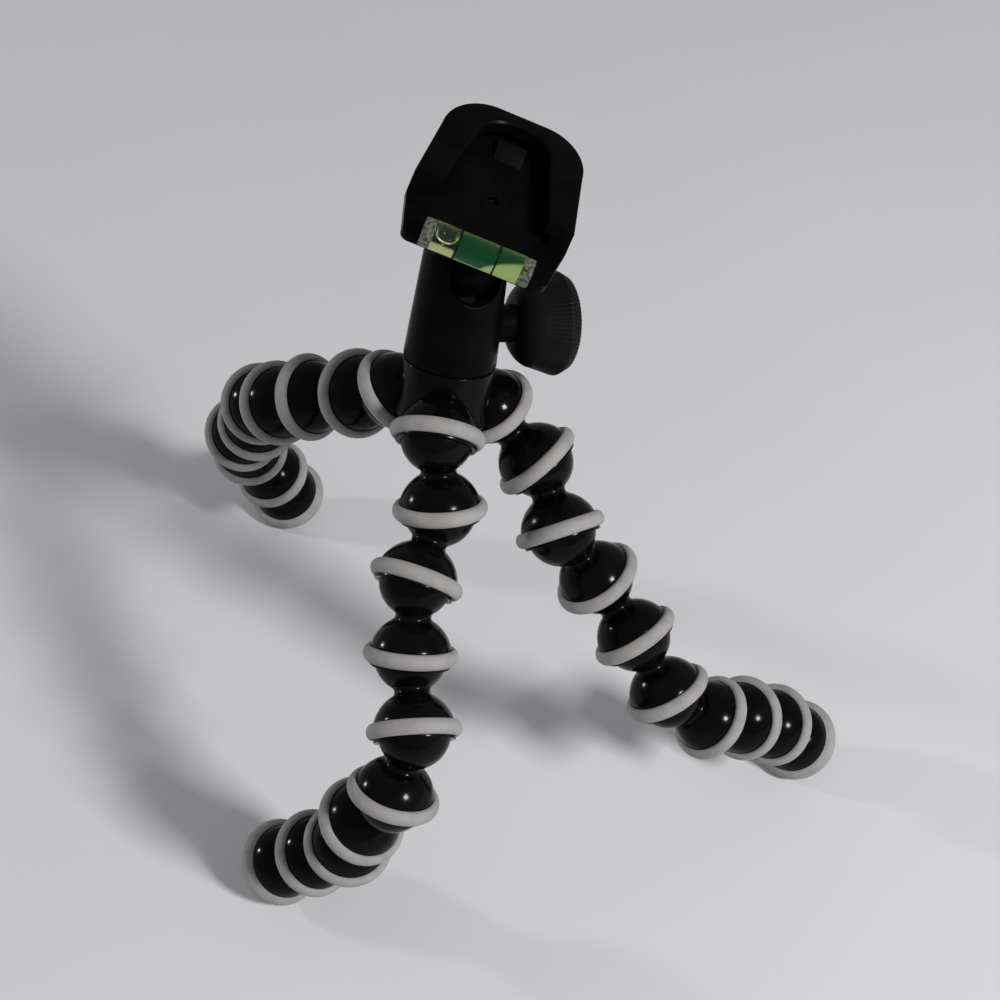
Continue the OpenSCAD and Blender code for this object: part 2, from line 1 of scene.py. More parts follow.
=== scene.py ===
"""Flexible leg tripod: its finishes, its dressed pieces, the studio and the camera."""

import json
import logging
import math
from dataclasses import dataclass
from enum import Enum

import bmesh
import bpy
from mathutils import Matrix, Vector


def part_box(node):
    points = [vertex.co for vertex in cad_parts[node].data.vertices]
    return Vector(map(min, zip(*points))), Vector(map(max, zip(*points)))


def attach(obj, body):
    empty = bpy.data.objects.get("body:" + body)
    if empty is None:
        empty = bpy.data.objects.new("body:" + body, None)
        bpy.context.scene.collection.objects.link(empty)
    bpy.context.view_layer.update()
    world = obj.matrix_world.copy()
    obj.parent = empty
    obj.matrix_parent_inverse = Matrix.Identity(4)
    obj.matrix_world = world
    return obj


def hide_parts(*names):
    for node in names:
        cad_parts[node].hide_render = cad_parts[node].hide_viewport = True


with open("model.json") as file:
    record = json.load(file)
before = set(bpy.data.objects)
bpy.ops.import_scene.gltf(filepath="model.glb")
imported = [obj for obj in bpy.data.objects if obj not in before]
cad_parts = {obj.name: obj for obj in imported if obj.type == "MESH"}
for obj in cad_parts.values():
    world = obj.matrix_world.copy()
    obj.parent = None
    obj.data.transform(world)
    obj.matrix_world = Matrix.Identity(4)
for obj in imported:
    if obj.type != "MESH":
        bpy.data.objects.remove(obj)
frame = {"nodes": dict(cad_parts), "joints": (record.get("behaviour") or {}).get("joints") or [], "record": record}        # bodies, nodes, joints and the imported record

log = logging.getLogger("tripod")

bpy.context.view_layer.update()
MM = 0.001
PICTURE = 1000
JOINTS = {joint["name"]: joint for joint in frame["joints"]}
MOUNTS = {mount["name"]: mount for mount in frame["record"]["mounts"]}
LEGS = ("front", "right", "back")
MIDDLE_PIECES = 8
# mesh layer that places the liquid's painted glow, standing in for light gathered along its lit side
PAINTED_LIGHT_SIDE = "painted_light_side"
SHARP_TURN = 32.0        # degrees above which shading breaks at an edge
CORNER_STEPS = 18        # edges along a quarter turn of an outline
NEAR = 1e-3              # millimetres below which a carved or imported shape's points are one
DOUBLE = 1e-4            # the same for a modelled shape's points
FLAT_TURN = 0.6          # degrees below which two faces are one flat face
NOISE_LOW = 0.3          # values between which most of a noise pattern lies
NOISE_HIGH = 0.7

Colour = tuple[float, float, float]
Point = tuple[float, float]
Spot = tuple[float, float, float]
Shape = bmesh.types.BMesh
Socket = bpy.types.NodeSocket


class Slot(Enum):
    """The record's material slots."""

    GLOSS = "gloss_black"
    SATIN = "satin_black"
    LATCH = "dark_plastic"
    RUBBER = "grip_rubber"
    STEEL = "steel"
    BLACK_STEEL = "black_steel"
    CLEAR = "clear_acrylic"
    LIQUID = "level_liquid"


class Cut(Enum):
    """What a second shape does to the first one."""

    ADD = "UNION"
    TAKE = "DIFFERENCE"


class Board:
    """A material's node tree, with short calls that add and join its nodes."""

    def __init__(self, name: str) -> None:
        """Starts a material with one principled shader on Object coordinates."""
        self.material = bpy.data.materials.new(name)
        self.material.use_nodes = True
        self.tree = self.material.node_tree
        self.shader = self.tree.nodes["Principled BSDF"]
        self.coords = self.tree.nodes.new("ShaderNodeTexCoord").outputs["Object"]

    def fix(self, **values: float | tuple) -> None:
        """Sets constant values on the shader's sockets, named with underscores for spaces."""
        for name, value in values.items():
            self.shader.inputs[name.replace("_", " ")].default_value = value

    def join(self, source: Socket, name: str) -> None:
        """Joins an output to one of the shader's sockets."""
        self.tree.links.new(source, self.shader.inputs[name])

    def noise(self, size: float, detail: float = 3.0) -> Socket:
        """Adds a noise pattern.

        Args:
            size: Size of the pattern's patches in millimetres.
            detail: Octaves of finer noise on top.

        Returns:
            The pattern's value, from 0 to 1.
        """
        node = self.tree.nodes.new("ShaderNodeTexNoise")
        node.inputs["Scale"].default_value = 1.0 / (size * MM)
        node.inputs["Detail"].default_value = detail
        self.tree.links.new(self.coords, node.inputs["Vector"])
        return node.outputs["Fac"]

    def spread(self, value: Socket, low: Point, high: Point) -> Socket:
        """Maps a value from one range to another.

        Args:
            value: The value to map.
            low: The value at the low end, and what it becomes.
            high: The value at the high end, and what it becomes.

        Returns:
            The mapped value, held inside the new range.
        """
        node = self.tree.nodes.new("ShaderNodeMapRange")
        node.inputs["From Min"].default_value, node.inputs["To Min"].default_value = low
        node.inputs["From Max"].default_value, node.inputs["To Max"].default_value = high
        self.tree.links.new(value, node.inputs["Value"])
        return node.outputs["Result"]

    def mix(self, share: Socket, first: Colour, second: Colour) -> Socket:
        """Mixes two colours by a share from 0 to 1 and returns the mixed colour."""
        node = self.tree.nodes.new("ShaderNodeMix")
        node.data_type = "RGBA"
        self.tree.links.new(share, node.inputs["Factor"])
        node.inputs["A"].default_value = (*first, 1.0)
        node.inputs["B"].default_value = (*second, 1.0)
        return node.outputs["Result"]

    def share(self, layer: str) -> Socket:
        """Reads a share from 0 to 1 that the mesh holds under a layer's name."""
        node = self.tree.nodes.new("ShaderNodeAttribute")
        node.attribute_name = layer
        return node.outputs["Fac"]

    def rough(self, pattern: Socket, roughness: Point) -> None:
        """Lets a noise pattern vary the roughness between two values."""
        self.join(self.spread(pattern, (NOISE_LOW, roughness[0]), (NOISE_HIGH, roughness[1])), "Roughness")

    def bump(self, height: Socket, depth: float) -> None:
        """Adds relief to the surface.

        Args:
            height: The relief's pattern.
            depth: Its depth in millimetres.
        """
        node = self.tree.nodes.new("ShaderNodeBump")
        node.inputs["Distance"].default_value = depth * MM
        self.tree.links.new(height, node.inputs["Height"])
        self.join(node.outputs["Normal"], "Normal")


@dataclass(frozen=True)
class MouldedPlastic:
    """Black moulded plastic with handling marks, faint dust and a fine grain."""

    name: str
    slot: Slot
    colour: Colour
    worn: Colour
    gloss: Point
    grain: float
    grain_depth: float
    shine: float = 0.1
    smear: float = 9.0
    smeared: Point = (0.42, 0.75)
    smear_detail: float = 4.0
    grain_detail: float = 2.0
    index: float = 1.5

    def material(self) -> bpy.types.Material:
        """Makes the material."""
        board = Board(self.name)
        smear = board.noise(self.smear, self.smear_detail)
        worn = board.spread(smear, (self.smeared[0], 0.0), (self.smeared[1], 1.0))
        board.join(board.mix(worn, self.colour, self.worn), "Base Color")
        board.rough(smear, self.gloss)
        board.bump(board.noise(self.grain, self.grain_detail), self.grain_depth)
        board.fix(IOR=self.index, Specular_IOR_Level=self.shine)
        return board.material


@dataclass(frozen=True)
class GripRubber:
    """Soft grey rubber: matt, faintly mottled, with a fine pitted skin."""

    name: str
    slot: Slot
    colour: Colour
    soiled: Colour
    roughness: Point
    pit: float
    pit_depth: float
    stain: float = 5.0
    stained: Point = (0.45, 0.8)
    stain_detail: float = 5.0
    index: float = 1.45
    shine: float = 0.3
    sheen: float = 0.05
    sheen_roughness: float = 0.6

    def material(self) -> bpy.types.Material:
        """Makes the material."""
        board = Board(self.name)
        stain = board.noise(self.stain, self.stain_detail)
        soiled = board.spread(stain, (self.stained[0], 0.0), (self.stained[1], 1.0))
        board.join(board.mix(soiled, self.colour, self.soiled), "Base Color")
        skin = board.noise(self.pit)
        board.rough(skin, self.roughness)
        board.bump(skin, self.pit_depth)
        board.fix(IOR=self.index, Specular_IOR_Level=self.shine)
        board.fix(Sheen_Weight=self.sheen, Sheen_Roughness=self.sheen_roughness)
        return board.material


@dataclass(frozen=True)
class TurnedSteel:
    """Turned steel with fine tool marks."""

    name: str
    slot: Slot
    colour: Colour
    dulled: Colour
    roughness: Point
    mark: float = 0.6
    mark_depth: float = 0.01
    mark_detail: float = 6.0

    def material(self) -> bpy.types.Material:
        """Makes the material."""
        board = Board(self.name)
        marks = board.noise(self.mark, self.mark_detail)
        board.join(board.mix(marks, self.colour, self.dulled), "Base Color")
        board.rough(marks, self.roughness)
        board.bump(marks, self.mark_depth)
        board.fix(Metallic=1.0)
        return board.material


@dataclass(frozen=True)
class ClearFill:
    """A clear or milky acrylic, or a dyed liquid with a painted glow: emission that stands in for light,
    brightest along the side where light would gather.
    """

    name: str
    slot: Slot
    colour: Colour
    deep: Colour
    roughness: Point
    index: float
    haze: float = 3.0
    clouded: Point = (0.38, 0.62)
    dulled: Point = (0.4, 0.75)
    clarity: float = 1.0
    glint: float = 1.0
    shine: float = 0.3
    painted_glow: Colour = (0.0, 0.0, 0.0)
    painted_lit_glow: Colour = (0.0, 0.0, 0.0)

    def material(self) -> bpy.types.Material:
        """Makes the material."""
        board = Board(self.name)
        haze = board.noise(self.haze)
        cloud = board.spread(haze, (self.clouded[0], 0.0), (self.clouded[1], 1.0))
        board.join(board.mix(cloud, self.colour, self.deep), "Base Color")
        if any(self.roughness):
            low, high = zip(self.dulled, self.roughness)
            board.join(board.spread(haze, low, high), "Roughness")
        else:
            board.fix(Roughness=0.0)
        board.fix(Transmission_Weight=self.clarity, IOR=self.index, Specular_IOR_Level=self.shine)
        board.fix(Specular_Tint=(self.glint, self.glint, self.glint, 1.0))
        # painted light: the liquid glows with no lamp, most strongly along its lit side
        if any(self.painted_glow):
            board.join(board.mix(board.share(PAINTED_LIGHT_SIDE), self.painted_glow, self.painted_lit_glow), "Emission Color")
            board.fix(Emission_Strength=1.0)
        return board.material


FINISHES = {
    "gloss": MouldedPlastic(
        "gloss_black_plastic", Slot.GLOSS, colour=(0.0014, 0.0014, 0.0015), worn=(0.003, 0.003, 0.003),
        gloss=(0.12, 0.2), grain=0.35, grain_depth=0.0012, shine=0.08),
    "satin": MouldedPlastic(
        "satin_black_plastic", Slot.SATIN, colour=(0.0016, 0.0016, 0.0016), worn=(0.003, 0.003, 0.003),
        gloss=(0.22, 0.34), grain=0.22, grain_depth=0.005, shine=0.025),
    "knob": MouldedPlastic(
        "knob_black_plastic", Slot.SATIN, colour=(0.0045, 0.0045, 0.0045), worn=(0.007, 0.007, 0.007),
        gloss=(0.32, 0.46), grain=0.22, grain_depth=0.006, shine=0.06),
    "tab": MouldedPlastic(
        "latch_plastic", Slot.LATCH, colour=(0.003, 0.003, 0.003), worn=(0.005, 0.005, 0.005),
        gloss=(0.45, 0.6), grain=0.2, grain_depth=0.008, shine=0.03),
    "rubber": GripRubber(
        "grey_grip_rubber", Slot.RUBBER, colour=(0.26, 0.25, 0.243), soiled=(0.19, 0.183, 0.177),
        roughness=(0.62, 0.8), pit=0.18, pit_depth=0.012),
    "steel": TurnedSteel(
        "turned_steel", Slot.STEEL, colour=(0.5, 0.5, 0.51), dulled=(0.36, 0.36, 0.37),
        roughness=(0.25, 0.4)),
    "black_steel": TurnedSteel(
        "blackened_steel", Slot.BLACK_STEEL, colour=(0.005, 0.005, 0.005), dulled=(0.009, 0.009, 0.009),
        roughness=(0.35, 0.5)),
    "clear": ClearFill(
        "level_tube_acrylic", Slot.CLEAR, colour=(0.95, 0.97, 0.94), deep=(0.89, 0.93, 0.88),
        roughness=(0.02, 0.06), index=1.49, glint=0.3),
    "core": ClearFill(
        "level_bore_acrylic", Slot.CLEAR, colour=(0.98, 0.99, 0.97), deep=(0.95, 0.98, 0.95),
        roughness=(0.0, 0.0), index=1.01),
    "milky": ClearFill(
        "level_plug_acrylic", Slot.CLEAR, colour=(0.86, 0.89, 0.82), deep=(0.2, 0.22, 0.18),
        roughness=(0.08, 0.3), index=1.01, haze=0.9, clarity=0.75),
    # the liquid and its thin end carry a painted glow, brightest on the lit side
    "liquid": ClearFill(
        "level_liquid_fill", Slot.LIQUID, colour=(0.8, 0.93, 0.4), deep=(0.74, 0.9, 0.34),
        roughness=(0.0, 0.0), index=1.01, painted_glow=(0.0012, 0.02, 0.009), painted_lit_glow=(0.24, 0.3, 0.1)),
    "thin_liquid": ClearFill(
        "level_liquid_end", Slot.LIQUID, colour=(0.93, 0.96, 0.88), deep=(0.9, 0.94, 0.84),
        roughness=(0.0, 0.0), index=1.01, painted_glow=(0.004, 0.005, 0.0035), painted_lit_glow=(0.3, 0.33, 0.14)),
    "bubble": ClearFill(
        "level_bubble_skin", Slot.LIQUID, colour=(0.97, 0.99, 0.96), deep=(0.92, 0.96, 0.9),
        roughness=(0.0, 0.03), index=1.36),
    "line": MouldedPlastic(
        "level_line_ink", Slot.LATCH, colour=(0.002, 0.002, 0.002), worn=(0.004, 0.004, 0.004),
        gloss=(0.4, 0.5), grain=0.3, grain_depth=0.002),
}


class Lathe:
    """Draws a profile of lines and arcs in the half plane of radius and height, and spins it round +Z."""

    def __init__(self, radius: float, height: float) -> None:
        """Starts the profile at a radius and a height."""
        self.shape = bmesh.new()
        self.tip = self.shape.verts.new((radius, 0.0, height))

    def line(self, radius: float, height: float) -> "Lathe":
        """Draws a straight stretch to a radius and a height."""
        self.tip = bmesh.ops.extrude_vert_indiv(self.shape, verts=[self.tip])["verts"][0]
        self.tip.co = (radius, 0.0, height)
        return self

    def arc(self, centre: Point, turn: float, steps: int) -> "Lathe":
        """Draws an arc from the tip.

        Args:
            centre: Radius and height of the arc's centre.
            turn: Angle of the arc in degrees, from outwards towards up where it is positive.
            steps: Number of edges along it.

        Returns:
            The lathe itself.
        """
        made = bmesh.ops.spin(
            self.shape, geom=[self.tip], cent=(centre[0], 0.0, centre[1]), axis=(0.0, -1.0, 0.0),
            angle=math.radians(turn), steps=steps, use_merge=False, use_duplicate=False)
        self.tip = next(part for part in made["geom_last"] if isinstance(part, bmesh.types.BMVert))
        return self

    def spin(self, steps: int = 72, soft: float = 0.0) -> Shape:
        """Spins the profile into a closed solid.

        Args:
            steps: Number of steps round the axis.
            soft: Radius of its softened edges in millimetres, or 0 for none.

        Returns:
            The solid, in millimetres.
        """
        shape = self.shape
        bmesh.ops.spin(
            shape, geom=shape.verts[:] + shape.edges[:], cent=(0.0, 0.0, 0.0), axis=(0.0, 0.0, 1.0),
            angle=math.tau, steps=steps, use_merge=True, use_duplicate=False)
        return tidied(shape, soft)


def rod(radius: float, low: float, high: float, steps: int = 72, soft: float = 0.0) -> Shape:
    """Models a round rod along +Z between two heights."""
    return Lathe(0.0, low).line(radius, low).line(radius, high).line(0.0, high).spin(steps, soft)


def pipe(inner: float, outer: float, low: float, high: float, steps: int, soft: float = 0.0) -> Shape:
    """Models a round pipe along +Z between two heights, from its two radii."""
    lathe = Lathe(inner, low).line(outer, low).line(outer, high).line(inner, high)
    return lathe.line(inner, low).spin(steps, soft)


def pulled(shape: Shape) -> list[bmesh.types.BMVert]:
    """Extrudes a shape's faces where they are and returns the new points."""
    made = bmesh.ops.extrude_face_region(shape, geom=shape.faces[:])
    return [part for part in made["geom"] if isinstance(part, bmesh.types.BMVert)]


def mesh_of(name: str, shape: Shape) -> bpy.types.Mesh:
    """Turns a shape into a mesh and frees the shape."""
    mesh = bpy.data.meshes.new(name)
    shape.to_mesh(mesh)
    shape.free()
    return mesh


def linked(name: str, data: bpy.types.ID) -> bpy.types.Object:
    """Adds an object that shows a mesh, a light or a camera to the scene."""
    made = bpy.data.objects.new(name, data)
    bpy.context.scene.collection.objects.link(made)
    return made


def tidied(shape: Shape, soft: float = 0.0, limit: float = 28.0) -> Shape:
    """Merges a shape's doubles, turns its faces outwards and softens its sharp edges.

    Args:
        shape: The shape, in millimetres.
        soft: Width of the softened edges, or 0 for none.
        limit: Angle in degrees above which an edge is sharp.

    Returns:
        The same shape.
    """
    bmesh.ops.remove_doubles(shape, verts=shape.verts, dist=DOUBLE)
    bmesh.ops.recalc_face_normals(shape, faces=shape.faces)
    if soft:
        sharp = [edge for edge in shape.edges if edge.calc_face_angle(0.0) > math.radians(limit)]
        rounded(shape, sharp, soft)
    return shape


def rounded(shape: Shape, edges: list[bmesh.types.BMEdge], width: float, held: bool = False) -> None:
    """Rounds edges of a shape.

    Args:
        shape: The shape, in millimetres.
        edges: The edges to round.
        width: Width of the rounding.
        held: Whether the rounding stops where it would overlap.
    """
    bmesh.ops.bevel(
        shape, geom=edges, offset=width, offset_type="OFFSET", segments=3, profile=0.5,
        affect="EDGES", material=-1, clamp_overlap=held)


def carved(base: Shape, tools: list[tuple[Cut, Shape]]) -> Shape:
    """Adds and takes away shapes from a base.

    Args:
        base: The shape to start from.
        tools: What each further shape does, and the shape.

    Returns:
        A new shape. The given ones are freed.
    """
    shapes = [base] + [tool for _, tool in tools]
    scraps = [linked("scrap", mesh_of("scrap", shape)) for shape in shapes]
    for (cut, _), scrap in zip(tools, scraps[1:]):
        change = scraps[0].modifiers.new("change", "BOOLEAN")
        change.operation = cut.value
        change.solver = "EXACT"
        change.object = scrap
    seen = scraps[0].evaluated_get(bpy.context.evaluated_depsgraph_get())
    result = bmesh.new()
    result.from_mesh(seen.to_mesh())
    for scrap in scraps:
        mesh = scrap.data
        bpy.data.objects.remove(scrap)
        bpy.data.meshes.remove(mesh)
    return result


def node_copy(node: str, place: Matrix) -> Shape:
    """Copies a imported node's mesh, merged and with flat faces made whole.

    Args:
        node: The node's name.
        place: The frame to bring it to.

    Returns:
        The copy, in millimetres in that frame.
    """
    shape = bmesh.new()
    shape.from_mesh(frame["nodes"][node].data)
    bmesh.ops.transform(shape, matrix=(place @ Matrix.Scale(MM, 4)).inverted(), verts=shape.verts)
    bmesh.ops.remove_doubles(shape, verts=shape.verts, dist=NEAR)
    bmesh.ops.dissolve_limit(
        shape, angle_limit=math.radians(FLAT_TURN), use_dissolve_boundaries=False,
        verts=shape.verts, edges=shape.edges)
    return shape


def corner(x: float, y: float, radius: float, start: float) -> list[Point]:
    """Gives the points of a quarter turn round a centre, from a start angle in degrees."""
    turns = [math.radians(start + 90.0 * step / CORNER_STEPS) for step in range(CORNER_STEPS + 1)]
    return [(x + radius * math.cos(turn), y + radius * math.sin(turn)) for turn in turns]


def round_end(half: float, end: float, radius: float) -> list[Point]:
    """Gives the points of a round end at y = end, from its right side to its left."""
    side = half - radius
    middle = end - radius
    return corner(side, middle, radius, 0.0) + corner(-side, middle, radius, 90.0)


def prism(low: list[Point], low_z: float, high: list[Point], high_z: float, soft: float = 0.0) -> Shape:
    """Models a prism between two outlines with as many points each.

    Args:
        low: The lower outline.
        low_z: Its height.
        high: The upper outline.
        high_z: Its height.
        soft: Width of the softened edges, or 0 for none.

    Returns:
        The prism, in millimetres.
    """
    shape = bmesh.new()
    verts = [shape.verts.new((x, y, low_z)) for x, y in low]
    bmesh.ops.contextual_create(shape, geom=verts)
    for vert in pulled(shape):
        nearest = min(range(len(low)), key=lambda n: math.hypot(low[n][0] - vert.co.x, low[n][1] - vert.co.y))
        vert.co = (*high[nearest], high_z)
    return tidied(shape, soft)


def block(low: Spot, high: Spot, soft: float = 0.0) -> Shape:
    """Models a box between two corners, with softened edges."""
    shape = bmesh.new()
    bmesh.ops.create_cube(shape, size=1.0)
    size = Vector(high) - Vector(low)
    moved(shape, Matrix.Translation((Vector(low) + Vector(high)) / 2) @ Matrix.Diagonal((*size, 1.0)))
    return tidied(shape, soft)


def moved(shape: Shape, place: Matrix) -> Shape:
    """Moves a shape by a matrix and returns it."""
    bmesh.ops.transform(shape, matrix=place, verts=shape.verts)
    return shape


def raised(shape: Shape, height: float) -> Shape:
    """Moves a shape along +Z and returns it."""
    return moved(shape, Matrix.Translation((0.0, 0.0, height)))


def piece(name: str, shape: Shape, place: Matrix, finish: str, body: str, *nodes: str,
          others: tuple[str, ...] = ()) -> bpy.types.Object:
    """Turns a shape into a finished piece of the tripod.

    Args:
        name: The piece's name.
        shape: Its shape in millimetres, which is freed.
        place: The frame that the shape is modelled in.
        finish: The name of its finish.
        body: The body that it rides on.
        *nodes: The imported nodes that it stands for.
        others: The finishes of the faces with material index 1 and up, if it has any.

    Returns:
        The new object.
    """
    moved(shape, place @ Matrix.Scale(MM, 4))
    for face in shape.faces:
        face.smooth = True
    mesh = mesh_of(name, shape)
    mesh.set_sharp_from_angle(angle=math.radians(SHARP_TURN))
    for used in (finish, *others):
        mesh.materials.append(material_of(used))
    made = linked(name, mesh)
    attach(made, body)
    if nodes:
        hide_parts(*nodes)
    log.info("%s: %d faces, %s, rides on %s", name, len(mesh.polygons), finish, body)
    return made


def material_of(finish: str) -> bpy.types.Material:
    """Gives a finish's material, made once."""
    wanted = FINISHES[finish].name
    return bpy.data.materials.get(wanted) or FINISHES[finish].material()


def paint(node: str, finish: str) -> None:
    """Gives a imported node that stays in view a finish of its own."""
    slots = frame["nodes"][node].data.materials
    slots.clear()
    slots.append(material_of(finish))
    log.info("%s: packed node, %s", node, finish)


def point_of(joint: str) -> Vector:
    """Gives a joint's place in metres."""
    return Vector(JOINTS[joint]["pos_m"])


def axis_of(joint: str) -> Vector:
    """Gives a joint's axis as a unit vector."""
    return Vector(JOINTS[joint]["axis"]).normalized()


def standing(origin: Vector, up: Vector, side: Vector) -> Matrix:
    """Makes a frame from its origin, its +Z and a direction near its +X.

    Args:
        origin: The frame's origin in metres.
        up: Its +Z.
        side: A direction that its +X leans towards.

    Returns:
        The frame as a matrix.
    """
    z = up.normalized()
    y = z.cross(side).normalized()
    turn = Matrix((y.cross(z), y, z)).transposed()
    return Matrix.Translation(origin) @ turn.to_4x4()


@dataclass
class BallSocket:
    """Sizes that every ball and socket of the legs and the hub shares, in millimetres."""

    ball_r: float = 10.2
    ball_flat: float = 1.6
    cavity_r: float = 10.35
    bell_r: float = 11.55
    neck_r: float = 5.0
    lip_h: float = 2.504
    ring_r: float = 13.3
    ring_w: float = 4.4
    ring_round: float = 2.5
    ring_lift: float = 0.6
    seat_r: float = 11.05
    rubber_fit: float = 0.05
    soft: float = 0.12
    ring_soft: float = 0.35
    least_fillet: float = 0.1
    halvings: int = 60
    ball_edges: int = 22
    neck_edges: int = 14
    bell_edges: int = 14
    room_edges: int = 16
    ring_edges: int = 16
    steps: int = 80

    def neck(self, pitch: float) -> Point:
        """Finds the fillet between a ball and a bell by halving the range of its radius.

        Args:
            pitch: Distance between their centres.

        Returns:
            The radius and height of the fillet's centre.
        """
        low, high = self.least_fillet, pitch
        for _ in range(self.halvings):
            radius = (low + high) / 2
            reach = self.neck_r + radius
            ball_side = math.sqrt(max((self.ball_r + radius) ** 2 - reach ** 2, 0.0))
            bell_side = math.sqrt(max((self.bell_r + radius) ** 2 - reach ** 2, 0.0))
            if ball_side + bell_side < pitch:
                low = radius
            else:
                high = radius
        return reach, ball_side

    def ball_to_bell(self, pitch: float) -> Lathe:
        """Draws the ball, the neck and the start of the bell.

        Args:
            pitch: Distance between the ball's and the bell's centres.

        Returns:
            The lathe, with its tip where the bell leaves the neck's fillet.
        """
        centre = self.neck(pitch)
        flat_h = self.ball_flat - self.ball_r
        flat_r = math.sqrt(self.ball_r ** 2 - flat_h ** 2)
        start = math.degrees(math.atan2(flat_h, flat_r))
        ball_end = math.degrees(math.atan2(centre[1], centre[0]))
        lathe = Lathe(0.0, flat_h).line(flat_r, flat_h)
        lathe.arc((0.0, 0.0), ball_end - start, self.ball_edges)
        return lathe.arc(centre, -ball_end - self.bell_start(pitch), self.neck_edges)

    def bell_start(self, pitch: float) -> float:
        """Gives the angle in degrees, below level, at which the bell leaves the neck's fillet."""
        centre = self.neck(pitch)
        return math.degrees(math.atan2(pitch - centre[1], centre[0]))

    def socket(self, lathe: Lathe, height: float, start: float) -> Lathe:
        """Draws the bell with its ring groove, lip and ball room.

        Args:
            lathe: The lathe, with its tip on the bell.
            height: Height of the bell's centre.
            start: Angle of the tip below level, in degrees.

        Returns:
            The lathe, with its tip on the axis.
        """
        low = -self.ring_lift - self.ring_w / 2 - self.rubber_fit
        high = -self.ring_lift + self.ring_w / 2 + self.rubber_fit
        lip_r = math.sqrt(self.bell_r ** 2 - self.lip_h ** 2)
        mouth_r = math.sqrt(self.cavity_r ** 2 - self.lip_h ** 2)
        turn = start + math.degrees(math.asin(low / self.bell_r))
        lathe.arc((0.0, height), turn, self.bell_edges)
        lathe.line(self.seat_r, height + low).line(self.seat_r, height + high)
        lathe.line(math.sqrt(self.bell_r ** 2 - high ** 2), height + high)
        lathe.line(lip_r, height + self.lip_h).line(mouth_r, height + self.lip_h)
        back = -90.0 - math.degrees(math.atan2(self.lip_h, mouth_r))
        return lathe.arc((0.0, height), back, self.room_edges)

    def ring(self) -> Shape:
        """Models a grip ring round the origin."""
        half = self.ring_w / 2
        core_r = self.ring_r - self.ring_round
        edge_r = core_r + math.sqrt(self.ring_round ** 2 - half ** 2)
        bulge = 2 * math.degrees(math.asin(half / self.ring_round))
        inner_r = self.seat_r + self.rubber_fit
        lathe = Lathe(inner_r, -half).line(edge_r, -half)
        lathe.arc((core_r, 0.0), bulge, self.ring_edges).line(inner_r, half).line(inner_r, -half)
        return raised(lathe.spin(self.steps, self.ring_soft), -self.ring_lift)


@dataclass
class Leg:
    """One leg: eight ball and socket pieces with their grip rings, and a foot with its pad."""

    name: str
    sizes: BallSocket
    pitch: float = 21.0
    foot_pitch: float = 20.0
    pad_r: float = 13.5
    pad_round: float = 3.2
    pad_drop: float = 1.0
    spigot_r: float = 7.0
    spigot_h: float = 2.0
    dome_edges: int = 18
    seat_edges: int = 5
    rim_edges: int = 24

    def frame_of(self, number: int) -> Matrix:
        """Gives a piece's frame: its ball's centre, with +Z along the piece.

        Args:
            number: The piece's number from the hub, with the foot last.

        Returns:
            The frame.
        """
        here = point_of(f"{self.name}_bend_{number}")
        if number <= MIDDLE_PIECES:
            there = point_of(f"{self.name}_bend_{number + 1}")
        else:
            low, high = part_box(f"{self.name}_pad")
            there = (low + high) / 2
        along = there - here
        return standing(here, along, along.orthogonal())

    def build(self) -> None:
        """Models and dresses every piece of the leg."""
        for number in range(1, MIDDLE_PIECES + 1):
            self.build_piece(number)
        self.build_foot()

    def build_piece(self, number: int) -> None:
        """Models one ball and socket piece and its grip ring."""
        node = f"{self.name}_leg_{number}"
        place = self.frame_of(number)
        lathe = self.sizes.ball_to_bell(self.pitch)
        self.sizes.socket(lathe, self.pitch, self.sizes.bell_start(self.pitch))
        piece(f"{node}_body", lathe.spin(self.sizes.steps, self.sizes.soft), place, "gloss", node, node)
        piece(f"{node}_ring", raised(self.sizes.ring(), self.pitch), place, "rubber", node, node)

    def build_foot(self) -> None:
        """Models the foot and its pad."""
        node = f"{self.name}_foot"
        place = self.frame_of(MIDDLE_PIECES + 1)
        lathe = self.sizes.ball_to_bell(self.foot_pitch)
        lathe.arc((0.0, self.foot_pitch), self.sizes.bell_start(self.foot_pitch), self.dome_edges)
        lathe.line(self.spigot_r, self.foot_pitch).line(self.spigot_r, self.foot_pitch + self.spigot_h)
        dome = lathe.line(0.0, self.foot_pitch + self.spigot_h).spin(self.sizes.steps)
        piece(f"{node}_dome", dome, place, "gloss", node, node)
        pad = raised(self.pad_shape(), self.foot_pitch)
        piece(f"{node}_pad", pad, place, "rubber", node, f"{self.name}_pad")

    def pad_shape(self) -> Shape:
        """Models the foot pad round the dome's middle: a soft disc with a thick round rim."""
        fit = self.sizes.rubber_fit
        dome_r = self.sizes.bell_r + fit
        rim_r = self.pad_r - self.pad_round
        sole = self.pad_drop + self.pad_round - 3 * fit
        far = math.hypot(rim_r, self.pad_drop)
        along = (dome_r ** 2 - self.pad_round ** 2 + far ** 2) / (2 * far)
        across = math.sqrt(dome_r ** 2 - along ** 2)
        meet_r = (along * rim_r + across * self.pad_drop) / far
        meet_h = (along * self.pad_drop - across * rim_r) / far
        lathe = Lathe(0.0, self.spigot_h + fit).line(self.spigot_r + fit, self.spigot_h + fit)
        lathe.line(self.spigot_r + fit, fit).line(dome_r, fit)
        seat = math.degrees(math.atan2(meet_h, meet_r) - math.asin(fit / dome_r))
        lathe.arc((0.0, 0.0), seat, self.seat_edges)
        start = math.degrees(math.atan2(meet_h - self.pad_drop, meet_r - rim_r))
        end = math.degrees(math.asin((sole - self.pad_drop) / self.pad_round))
        lathe.arc((rim_r, self.pad_drop), end - start, self.rim_edges)
        return lathe.line(0.0, sole).spin(self.sizes.steps)


